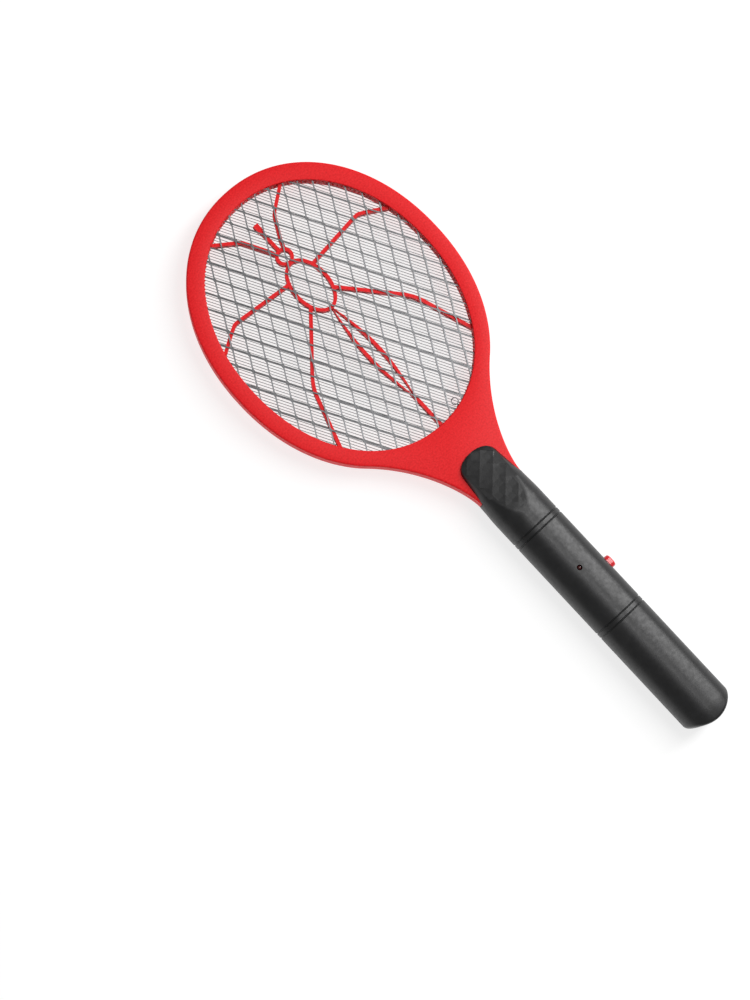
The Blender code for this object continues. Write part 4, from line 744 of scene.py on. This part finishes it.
def rounded_corners(points, share=0.16):
    """The same broken line with its corners cut to short curves."""
    line = [Vector(p) for p in points]
    out = [line[0]]
    for a, b, c in zip(line, line[1:], line[2:]):
        first, last = b + (a - b) * share, b + (c - b) * share
        for i in range(5):
            t = i / 4
            out.append(first * (1 - t) ** 2 + b * 2 * t * (1 - t) + last * t * t)
    out.append(line[-1])
    return out


def rib_to_rim(points, side):
    line = rounded_corners([at_share(p, side) for p in points])
    line.append(line[-1] + (line[-1] - line[-2]).normalized() * RIB_END)
    return strip(line, RIB_WIDTH)


def lens(half_width):
    top, bottom = at_share((0.0, TAIL[0]))[1], at_share((0.0, TAIL[1]))[1]
    steps = 24
    right = [(half_width * sin(pi * i / steps), top + (bottom - top) * i / steps) for i in range(steps + 1)]
    return ccw(right + [(-x, y) for x, y in right[1:-1]][::-1])


def rib_layers():
    half = RIB_WIDTH / 2
    layers = [(opening(BORDER, 160), True), (opening(0.0, 160), False)]
    for side in (-1, 1):
        layers += [(rib_to_rim(line, side), True) for line in (ANTENNA, UPPER_LEG, LOWER_LEG)]
    tail_end = at_share((0.0, TAIL[1]))
    layers.append((strip([at_share(p) for p in PROBOSCIS], RIB_WIDTH), True))
    layers.append((strip([at_share(p) for p in PROBOSCIS_TIP], PROBOSCIS_TIP_WIDTH), True))
    layers.append((strip([(0.0, tail_end[1] + 4 * MM), (0.0, OPENING_LOW_Y - RIB_END)], RIB_WIDTH), True))
    layers += [(lens(TAIL_HALF_WIDTH + half), True), (lens(TAIL_HALF_WIDTH - half), False)]
    for centre, half_width, half_length, sides in ((BODY_CENTRE, BODY_HALF_WIDTH, BODY_HALF_LENGTH, 56),
                                                   (HEAD_CENTRE, HEAD_RADIUS, HEAD_RADIUS, 36)):
        for grow, added in ((half, True), (-half, False)):
            oval = ellipse(at_share(centre), half_width + grow, half_length + grow, sides)
            layers.append((oval, added))
    return layers


def rib_spacer(name, first, last, node):
    obj = slab(name, rib_layers(), lambda x, y: first, lambda x, y: last)
    soften(obj, 0.35 * MM)
    return dress(obj, "red_plastic", replaces=(node,))


def comb():
    """The row of teeth round the opening that keeps the middle wires apart."""
    vertices, faces = [], []
    around = opening(0.0, 2000)
    length = 0.0
    next_tooth = 0.0
    for a, b in zip(around, around[1:] + around[:1]):
        step = Vector(b) - Vector(a)
        length += step.length
        if length < next_tooth:
            continue
        next_tooth += TOOTH_PITCH
        tangent = step.normalized()
        outward = Vector((tangent.y, -tangent.x))
        start = len(vertices)
        for height in (-SPACER_LOW * 0.8, SPACER_LOW * 0.8):
            for u, v in ((-TOOTH_HALF_WIDTH, TOOTH_DEPTH), (TOOTH_HALF_WIDTH, TOOTH_DEPTH),
                         (TOOTH_HALF_WIDTH, -TOOTH_OUT), (-TOOTH_HALF_WIDTH, -TOOTH_OUT)):
                point = Vector(a) + tangent * u + outward * v
                vertices.append((point.x, point.y, height))
        faces += [[start, start + 1, start + 2, start + 3], [start + 7, start + 6, start + 5, start + 4]]
        faces += [[start + i, start + 4 + i, start + 4 + (i + 1) % 4, start + (i + 1) % 4] for i in range(4)]
    return dress(new_piece("wire_comb", vertices, faces), "red_plastic")


def eyelet():
    """The crimped ring that the ground lead ends in."""
    first, last, centre = low("ground_eyelet"), high("ground_eyelet"), middle_of("ground_eyelet")
    wire = (last.z - first.z) / 2
    radius = (last.x - first.x) / 2 - wire
    sides, minor = 48, 12
    vertices, faces = [], []
    for i in range(sides):
        for j in range(minor):
            turn, bend = 2 * pi * i / sides, 2 * pi * j / minor
            reach = radius + wire * cos(bend)
            vertices.append((centre.x + reach * cos(turn), centre.y + reach * sin(turn),
                             centre.z - MIDDLE + wire * sin(bend)))
            k, m = (i + 1) % sides, (j + 1) % minor
            faces.append([i * minor + j, k * minor + j, k * minor + m, i * minor + m])
    return dress(new_piece("eyelet_ring", vertices, faces), "screw_steel", replaces=("ground_eyelet",))


# ================================================================ handle
def panel_height(y):
    if y <= PANEL_END_Y:
        return HALF_DEPTH
    return TONGUE_RISE + (HALF_DEPTH - TONGUE_RISE) * (TONGUE_Y - y) / PANEL_LENGTH


def crown(y):
    """How far the sloping face falls from its middle to its edge."""
    return CROWN * max(y - PANEL_END_Y, 0.0) / PANEL_LENGTH


def face_height(x, y):
    """The sloping face at any point."""
    return panel_height(y) - crown(y) * min((x / panel_edge(y)[1]) ** 2, 1.0)


def eased(share):
    share = min(max(share, 0.0), 1.0)
    return share * share * (3 - 2 * share)


def handle_half_width(y):
    if y <= SHOULDER_Y:
        taper = eased((SHOULDER_Y - y) / TAPER_LENGTH)
        return SHOULDER_WIDTH / 2 + (HALF_WIDTH - SHOULDER_WIDTH / 2) * taper
    along = y - SHOULDER_Y
    width = TONGUE_FOOT + (TONGUE_WIDTH - TONGUE_FOOT) * along / TONGUE_LENGTH
    width += (SHOULDER_WIDTH - TONGUE_FOOT) * eased(1 - along / FLARE_LENGTH)
    tip = min(max(1 - (TONGUE_Y - y) / TIP_LENGTH, 0.0), TIP_END)
    return width / 2 * (1 - tip ** TIP_POWER) ** (1 / TIP_POWER)


def panel_edge(y, inset=0.0):
    """How far round a section the sloping flat starts, and its half-width there."""
    half_width = handle_half_width(y) - inset
    flat = min(HANDLE_FLAT, half_width * 0.6)
    share = min((panel_height(y) - crown(y) - inset) / (HALF_DEPTH - inset), 1.0)
    turn = asin(share ** (HANDLE_POWER / 2))
    return turn, flat + (half_width - flat) * abs(cos(turn)) ** (2 / HANDLE_POWER)


def section(y, side, inset=0.0, floor=GAP / 2, side_steps=16, top_steps=12):
    """Half a cross-section of the handle, from its right edge over the top to its left."""
    half_width = handle_half_width(y) - inset
    flat = min(HANDLE_FLAT, half_width * 0.6)
    height = HALF_DEPTH - inset
    turn_end, edge = panel_edge(y, inset)
    top = min(height, panel_height(y) - inset)
    right = [(half_width, floor)]
    for i in range(1, side_steps):
        turn = turn_end * i / side_steps
        right.append((flat + (half_width - flat) * cos(turn) ** (2 / HANDLE_POWER),
                      height * sin(turn) ** (2 / HANDLE_POWER)))
    across = [1 - 2 * i / top_steps for i in range(top_steps + 1)]
    roof = [(edge * share, top - crown(y) * share ** 2) for share in across]
    left = [(-x, z) for x, z in reversed(right)]
    return [(x, side * z) for x, z in right + roof + left]


def groove_stations(ring_y):
    stations = []
    for centre in (ring_y - RING_SPACING / 2, ring_y + RING_SPACING / 2):
        for i in range(-5, 6):
            share = i / 5
            stations.append((centre + share * RING_WIDTH / 2, RING_DEPTH * cos(share * pi / 2) ** 1.2))
    return stations


def spread(first, last, step):
    count = max(int(abs(last - first) / step + 0.5), 1)
    return [first + (last - first) * i / count for i in range(count + 1)]


def butt_arc(x):
    return BUTT_Y + BUTT_BULGE * (x / HALF_WIDTH) ** 2


def handle_stations(first, last, grooved):
    """Places along the handle with the inset of each."""
    places = [(y, 0.0) for y in spread(max(first, BUTT_Y), SHOULDER_Y - TAPER_LENGTH, 5 * MM)]
    places += [(y, 0.0) for y in spread(SHOULDER_Y - TAPER_LENGTH, TONGUE_Y - TIP_LENGTH, MM)]
    places += [(TONGUE_Y - TIP_LENGTH * (1 - cos(radians(a))), 0.0) for a in range(3, 90, 6)]
    if grooved:
        grooves = groove_stations(LOWER_RING_Y) + groove_stations(UPPER_RING_Y)
        for ring_y in (LOWER_RING_Y, UPPER_RING_Y):
            places = [p for p in places if abs(p[0] - ring_y) > RING_SPACING / 2 + RING_WIDTH]
        places += grooves
    kept = sorted(p for p in places if first - 1e-6 <= p[0] <= last + 1e-6)
    clean = []
    for y, inset in [(first, 0.0)] + kept + [(last, 0.0)]:
        if not clean or y - clean[-1][0] > 0.02 * MM:
            clean.append((y, inset))
    return clean


def handle_solid(name, side, first, last, inset=0.0, floor=GAP / 2, grooved=True, butt=0.0):
    """A solid half of the handle; its butt end is rounded by the given fillet."""
    rings = []
    if butt:
        for share in (0.05, 0.3, 0.6, 0.85):
            ring = []
            for x, z in section(BUTT_Y, side, inset + butt, floor):
                height = floor * side + (z - floor * side) * share
                ring.append((x * share, butt_arc(x * share) + inset, height))
            rings.append(ring)
        for degrees in (0, 20, 40, 60, 90):
            a = radians(degrees)
            ring = []
            for x, z in section(BUTT_Y, side, inset + butt * (1 - sin(a)), floor):
                ring.append((x, butt_arc(x) + inset + butt * (1 - cos(a)), z))
            rings.append(ring)
        first = BUTT_Y + BUTT_BULGE + inset + butt + 0.5 * MM
    for y, depth in handle_stations(first, last, grooved):
        rings.append([(x, y, z) for x, z in section(y, side, inset + depth, floor)])
    return loft(name, rings)


def shell(name, side, first, last, butt):
    """A hollow half of the handle, with the neck's space cut out of its upper end."""
    obj = handle_solid(name, side, first, last, butt=BUTT_FILLET if butt else 0.0)
    cavity_last = min(last + MM, TONGUE_Y - TIP_LENGTH - 2 * MM)
    cavity_first = first if butt else first - MM
    fillet = CAVITY_FILLET if butt else 0.0
    cavity = handle_solid("cavity", side, cavity_first, cavity_last, WALL, -MM, False, fillet)
    cut(obj, cavity)
    if last > SHOULDER_Y:
        cut(obj, neck_space(side))
    return obj


def neck_space(side):
    reach = 0.1
    face = FRAME_HALF + GAP / 2
    outline = [(reach, TONGUE_Y + MM), (-reach, TONGUE_Y + MM), (-reach, SHOULDER_Y - GAP),
               (-STUB_WIDTH / 2 - GAP, SHOULDER_Y - GAP), (-STUB_WIDTH / 2 - GAP, SHOULDER_Y - STUB_LENGTH),
               (STUB_WIDTH / 2 + GAP, SHOULDER_Y - STUB_LENGTH), (STUB_WIDTH / 2 + GAP, SHOULDER_Y - GAP),
               (reach, SHOULDER_Y - GAP)]
    return prism("neck_space", ccw(outline), *sorted((-side * MM, side * face)))


def relief_height(x, y):
    """Raised and sunken pyramids in a chequer, above the sloping flat."""
    half = RELIEF_PITCH / 2
    column = round(x / RELIEF_PITCH)
    row = int((TONGUE_Y - y) // RELIEF_PITCH)
    middle_y = TONGUE_Y - (row + 0.5) * RELIEF_PITCH
    fall = max(abs(x - column * RELIEF_PITCH), abs(y - middle_y)) / half
    return RELIEF_HEIGHT * (1 - min(fall, 1.0)) * (1 if (row + column) % 2 else -1)


def relief_outline():
    """The sloping flat of the tongue, a little inside its edges."""
    margin = 1.0 * MM
    right = []
    for y in spread(PANEL_END_Y - 0.5 * MM, TONGUE_Y - margin, 0.8 * MM):
        edge = panel_edge(max(y, PANEL_END_Y))[1] if y > PANEL_END_Y else 0.0
        corner = sqrt(max(1 - max((PANEL_END_Y + 5 * MM - y) / (5 * MM), 0.0) ** 2, 0.0))
        right.append(((edge - margin) * corner, y))
    right = [(x, y) for x, y in right if x > 0.3 * MM]
    return ccw(right + [(-x, y) for x, y in reversed(right)])


def relief(name, side, holes):
    """The tongue's pyramids, as a thin plate let into its face, with room round each screw."""
    shapes = [relief_outline()]
    half = RELIEF_PITCH / 2
    for row in range(int(PANEL_LENGTH / RELIEF_PITCH) + 1):
        for column in range(-3, 4):
            cx, cy = column * RELIEF_PITCH, TONGUE_Y - (row + 0.5) * RELIEF_PITCH
            corners = [(cx - half, cy - half), (cx + half, cy - half),
                       (cx + half, cy + half), (cx - half, cy + half)]
            shapes += [[a, b, (cx, cy)] for a, b in zip(corners, corners[1:] + corners[:1])]
    first_hole = len(shapes)
    shapes = [ccw(shape) for shape in shapes]
    shapes += [ellipse(centre, SCREW_ROOM, SCREW_ROOM, 32) for centre in holes]
    points, faces = [], []
    for shape in shapes:
        faces.append(list(range(len(points), len(points) + len(shape))))
        points += [Vector(p) for p in shape]
    found = delaunay_2d_cdt(points, [], faces, 1, 1e-7)
    kept = [t for t, source in zip(found[2], found[5]) if 0 in source and max(source) < first_hole]
    used = sorted({i for t in kept for i in t})
    number = {old: new for new, old in enumerate(used)}
    triangles = [[number[i] for i in t] for t in kept]
    corners = [tuple(found[0][i]) for i in used]
    count = len(corners)
    edges = {(t[k], t[(k + 1) % 3]) for t in triangles for k in range(3)}
    border = {i for a, b in edges if (b, a) not in edges for i in (a, b)}
    vertices = [(x, y, side * (face_height(x, y) - RELIEF_ROOT)) for x, y in corners]
    for i, (x, y) in enumerate(corners):
        raised = -RELIEF_LIFT if i in border else relief_height(x, y) + RELIEF_LIFT
        vertices.append((x, y, side * (face_height(x, y) + raised)))
    faces = [t[::-1] for t in triangles] + [[i + count for i in t] for t in triangles]
    faces += [[a, b, b + count, a + count] for a, b in sorted(edges) if (b, a) not in edges]
    return dress(new_piece(name, vertices, faces, 3.0), "black_plastic")


def button_hole():
    outline = rounded_rectangle(BUTTON_LENGTH + 2 * GAP, BUTTON_HEIGHT + 2 * GAP, BUTTON_CORNER + GAP)
    centre_y = middle_of("trigger_button").y
    outline = [(y + centre_y, z) for y, z in outline]
    return prism("button_hole", outline, HALF_WIDTH - 2 * WALL, HALF_WIDTH + MM, "X")


def handle_front():
    obj = shell("handle_front_shell", 1, BUTT_Y, TONGUE_Y, True)
    led = middle_of("indicator_led")
    cut(obj, button_hole())
    cut(obj, cylinder("led_hole", (led.x, led.y), LED_HOLE_RADIUS, 0.0, 2 * HALF_DEPTH))
    dress(obj, "black_plastic", replaces=("handle_front",))
    relief("tongue_relief_front", 1, [])


def screw_recess(obj, node):
    centre = middle_of(node)
    radius = (high(node).x - low(node).x) / 2 + RECESS_PLAY
    seat = low(node).z - MIDDLE + SCREW_HEAD_HEIGHT
    cut(obj, cylinder("recess", (centre.x, centre.y), radius, -FAR, seat))
    return (centre.x, centre.y)


def screw_boss(obj, node):
    """A boss inside the shell with the recess of its screw."""
    boss = cylinder("boss", (0.0, middle_of(node).y), BOSS_RADIUS, -HALF_DEPTH + MM, -BOSS_MEETS)
    cut(obj, boss, "UNION")
    screw_recess(obj, node)


def handle_rear():
    obj = shell("handle_rear_shell", -1, LOWER_RING_Y + GAP / 2, TONGUE_Y, False)
    tongue_screws = ("tongue_screw_top", "tongue_screw_left", "tongue_screw_right")
    fill = [[(x, y, -FRAME_HALF - GAP / 2), (-x, y, -FRAME_HALF - GAP / 2), (-x, y, z), (x, y, z)]
            for y, x, z in ((TONGUE_Y - 30 * MM, 12 * MM, -10.8 * MM),
                            (TONGUE_Y - 4 * MM, 9 * MM, -8.0 * MM))]
    cut(obj, loft("filling", fill), "UNION")
    holes = [screw_recess(obj, node) for node in tongue_screws]
    screw_boss(obj, "handle_screw")
    cut(obj, button_hole())
    dress(obj, "black_plastic", replaces=("handle_rear",))
    relief("tongue_relief_rear", -1, holes)


def battery_cover():
    obj = shell("battery_cover_shell", -1, BUTT_Y, LOWER_RING_Y - GAP / 2, True)
    screw_boss(obj, "cover_screw")
    grip_low, grip_high = BUTT_Y + GRIP_FROM_BUTT, BUTT_Y + GRIP_FROM_BUTT + GRIP_LENGTH
    grip = [[(x, y, -HALF_DEPTH - MM), (-x, y, -HALF_DEPTH - MM), (-x, y, z), (x, y, z)]
            for y, x, z in ((grip_low, 5.0 * MM, -HALF_DEPTH + 0.5 * MM),
                            (grip_high, 6.5 * MM, -HALF_DEPTH + 1.3 * MM))]
    cut(obj, loft("grip", grip))
    for k in (-1.5, -0.5, 0.5, 1.5):
        ridge = rounded_rectangle(RIDGE_WIDTH, RIDGE_LENGTH, 0.55 * MM, 4)
        outline = [(x + k * RIDGE_PITCH, y + grip_low + 2.9 * MM) for x, y in ridge]
        cut(obj, prism("ridge", outline, -HALF_DEPTH + 0.1 * MM, -HALF_DEPTH + 1.5 * MM), "UNION")
    dress(obj, "black_plastic", "cover", ("battery_cover",))


def handle_inside():
    """The wall above the cells and the post for the cover's screw, inside the front shell."""
    y = high("contact_positive").y + GAP
    upper = section(y, 1, WALL - 0.2 * MM)
    lower = [(x, max(z, -CELL_WALL_DROP)) for x, z in section(y, -1, WALL + 0.5 * MM)]
    wall = prism("cell_wall", ccw(upper + lower[::-1]), y, y + CELL_WALL, "Y")
    dress(wall, "black_plastic")
    y, half, slot = middle_of("cover_screw").y, POST_HALF_WIDTH, SLOT_HALF_WIDTH
    post = block("cover_post", (-half, y - half, POST_LOW), (half, y + half, POST_TOP))
    cut(post, block("slot", (-slot, y - 2 * half, -FAR), (slot, y + slot, SLOT_TOP)))
    dress(post, "black_plastic")


# ================================================================ small pieces
def button():
    """The red push button, with rounded edges and a shallow thumb dish."""
    centre_y, proud = middle_of("trigger_button").y, high("trigger_button").x
    shoulder = proud - BUTTON_FILLET
    profile = [(low("trigger_button").x + GAP, 1.0), (shoulder, 1.0)]
    profile += [(shoulder + BUTTON_FILLET * sin(a), 1 - 0.34 * (1 - cos(a)))
                for a in (radians(t) for t in (15, 30, 45, 60, 75, 90))]
    profile += [(proud - 0.15 * MM, 0.4), (proud - 0.25 * MM, 0.05)]
    rings = []
    for x, share in profile:
        outline = rounded_rectangle(BUTTON_LENGTH, BUTTON_HEIGHT, BUTTON_CORNER, 8)
        rings.append([(x, centre_y + y * share, z * share) for y, z in outline])
    obj = loft("push_button", rings)
    dress(obj, "button_plastic", "trigger", ("trigger_button",))


def indicator():
    """A small round lamp with a low dome."""
    centre = middle_of("indicator_led")
    top, radius, rise = high("indicator_led").z - MIDDLE, LAMP_RADIUS, LAMP_DOME
    dome = [(radius, top - 4 * MM), (radius, top - rise)]
    dome += [(radius * cos(a), top - rise + rise * sin(a)) for a in (radians(t) for t in (20, 40, 60, 85))]
    lamp = turned("indicator_lamp", dome, (centre.x, centre.y, 0.0))
    dress(lamp, "led_lens", replaces=("indicator_led",))


def screw(name, node, body="racket"):
    """A pan-head screw with a cross recess, head down."""
    first, last, centre = low(node), high(node), middle_of(node)
    seat = first.z - MIDDLE + SCREW_HEAD_HEIGHT
    head, shank = (last.x - first.x) / 2, SCREW_SHANK_RADIUS
    profile = [(0.05 * MM, -SCREW_HEAD_HEIGHT)]
    profile += [(head * (0.25 + 0.75 * sin(a)), -SCREW_HEAD_HEIGHT + 0.75 * MM * (1 - cos(a)))
                for a in (radians(t) for t in (10, 30, 50, 70, 90))]
    profile += [(head, 0.0), (shank, 0.0)]
    length = last.z - MIDDLE - seat
    turns = int(length / THREAD_PITCH) - 1
    for k in range(turns):
        base = 0.6 * MM + k * THREAD_PITCH
        profile += [(shank * 0.78, base), (shank, base + 0.45 * MM), (shank * 0.78, base + 0.9 * MM)]
    profile.append((shank * 0.3, length))
    obj = turned(name, [(r, h + seat) for r, h in profile], (centre.x, centre.y, 0.0), sides=32)
    narrow, wide = CROSS_RECESS
    for width, depth in ((narrow, wide), (wide, narrow)):
        cross = block("cross", (centre.x - width / 2, centre.y - depth / 2, seat - 3 * MM),
                      (centre.x + width / 2, centre.y + depth / 2, seat - 0.5 * MM))
        cut(obj, cross)
    dress(obj, "screw_steel", body, (node,))


def cell(name, node, nub_up):
    """An AA cell with a rolled jacket edge, a nub and a coloured band at the nub's end."""
    first, last, centre = low(node), high(node), middle_of(node)
    radius = (last.z - first.z) / 2
    length = last.y - first.y
    body = length - CELL_NUB
    base, sign = (first.y, 1) if nub_up else (last.y, -1)

    def around(piece, profile, sides):
        rings = [(r, base + sign * h) for r, h in profile]
        return turned(piece, rings, (centre.x, 0.0, centre.z - MIDDLE), "Y", sides)

    jacket = [(radius * 0.82, 0.15 * MM), (radius * 0.86, 0.0), (radius * 0.95, 0.1 * MM),
              (radius, 0.6 * MM), (radius, body - 0.9 * MM), (radius * 0.97, body - 0.3 * MM),
              (radius * 0.90, body), (radius * 0.80, body - 0.25 * MM), (2.9 * MM, body - 0.2 * MM),
              (2.75 * MM, body + 0.2 * MM), (2.75 * MM, length - 0.3 * MM), (2.4 * MM, length)]
    dress(around(name, jacket, 56), "cell_jacket", replaces=(node,))
    nub = [(2.9 * MM, body - 0.1 * MM), (2.82 * MM, body + 0.2 * MM), (2.80 * MM, length - 0.35 * MM),
           (2.45 * MM, length - 0.02 * MM), (0.1 * MM, length - 0.01 * MM)]
    dress(around(name + "_nub", nub, 40), "contact_metal")
    outer = radius + 0.06 * MM
    band = [(radius * 0.99, body - 12 * MM), (outer, body - 11.9 * MM),
            (outer, body - 1.1 * MM), (radius * 0.99, body - 1.0 * MM)]
    dress(around(name + "_band", band, 56), "winding")


def spring(name, node, up):
    """A conical contact spring, wound finely."""
    first, last, centre = low(node), high(node), middle_of(node)
    wire = SPRING_WIRE_RADIUS
    length = last.y - first.y - 2 * wire
    wide = (last.x - first.x) / 2 - wire
    start = first.y + wire if up > 0 else last.y - wire
    data = bpy.data.curves.new(name, "CURVE")
    data.dimensions = "3D"
    data.bevel_depth = wire
    data.bevel_resolution = 3
    data.use_fill_caps = True
    line = data.splines.new("POLY")
    steps = 96
    line.points.add(steps)
    for i in range(steps + 1):
        share = i / steps
        radius = wide - SPRING_NARROWS * share
        turn = 2 * pi * SPRING_TURNS * share
        line.points[i].co = (centre.x + radius * cos(turn), start + up * length * share,
                             centre.z + radius * sin(turn), 1.0)
    curve = bpy.data.objects.new(name, data)
    bpy.context.scene.collection.objects.link(curve)
    dress(curve, "contact_metal", replaces=(node,))


def small_pieces():
    button()
    indicator()
    for node in ("tongue_screw_top", "tongue_screw_left", "tongue_screw_right", "handle_screw"):
        screw(node + "_fine", node)
    screw("cover_screw_fine", "cover_screw", "cover")
    cell("cell_left", "battery_left", True)
    cell("cell_right", "battery_right", False)
    spring("coil_lower", "spring_lower", 1)
    spring("coil_upper", "spring_upper", -1)


def head():
    frame_half("frame_front_shell", 1, "frame_front")
    frame_half("frame_rear_shell", -1, "frame_rear")
    grid_middle = GRID_TOP - GRID_SHEET / 2
    expanded_metal("mesh_front", grid_middle, "grid_front", 1)
    expanded_metal("mesh_rear", -grid_middle, "grid_rear", -1, REAR_SHIFT)
    wire_grid()
    rib_spacer("ribs_front", SPACER_LOW, SPACER_TOP, "rib_spacer_front")
    rib_spacer("ribs_rear", -SPACER_TOP, -SPACER_LOW, "rib_spacer_rear")
    comb()
    eyelet()


# ================================================================ studio
def area_light(name, centre, target, size, power, colour=(1.0, 1.0, 1.0)):
    data = bpy.data.lights.new(name, "AREA")
    data.shape = "RECTANGLE"
    data.size, data.size_y = size
    data.energy = power
    data.color = colour
    obj = bpy.data.objects.new(name, data)
    obj.location = centre
    obj.rotation_euler = (Vector(target) - Vector(centre)).to_track_quat("-Z", "Y").to_euler()
    bpy.context.scene.collection.objects.link(obj)


def studio():
    paper = Shader("floor_paper", (0.35, 0.35, 0.35), 0.9)
    paper.colour_from(paper.noise(0.05), ((0.3, (0.345, 0.345, 0.345)), (0.7, (0.355, 0.355, 0.355))))
    paper.set(Emission_Color=(1.0, 1.0, 1.0, 1.0), Emission_Strength=0.75, Specular_IOR_Level=0.0)
    mesh = bpy.data.meshes.new("floor")
    size = 3.0
    corners = [(-size, -size, 0), (size, -size, 0), (size, size, 0), (-size, size, 0)]
    mesh.from_pydata(corners, [], [[0, 1, 2, 3]])
    floor = bpy.data.objects.new("floor", mesh)
    floor.data.materials.append(paper.material)
    bpy.context.scene.collection.objects.link(floor)
    world = bpy.data.worlds.new("studio")
    bpy.context.scene.world = world
    world.use_nodes = True
    world.node_tree.nodes["Background"].inputs["Color"].default_value = (1.0, 1.0, 1.0, 1.0)
    world.node_tree.nodes["Background"].inputs["Strength"].default_value = 0.33
    area_light("key", (0.88, -0.10, 1.10), (0.0, -0.02, 0.0), (0.5, 1.6), 20.0)
    bpy.context.scene.view_settings.view_transform = "Standard"


def camera():
    """Looks down at the racket from the front, turned so that it lies across the picture."""
    centre = Vector((-0.3108, -0.0687, 1.8275))
    forward = Vector((0.1361, 0.0477, -0.9895)).normalized()
    up = Vector((0.6702, 0.7311, 0.1275))
    right = forward.cross(up).normalized()
    up = right.cross(forward)
    data = bpy.data.cameras.new("camera")
    data.sensor_width = 36.0
    data.lens = 108.0
    obj = bpy.data.objects.new("camera", data)
    obj.matrix_world = Matrix.Translation(centre) @ Matrix((right, up, -forward)).transposed().to_4x4()
    bpy.context.scene.collection.objects.link(obj)
    bpy.context.scene.camera = obj


camera()
dress_cad_nodes()
head()
handle_front()
handle_rear()
battery_cover()
handle_inside()
small_pieces()
studio()
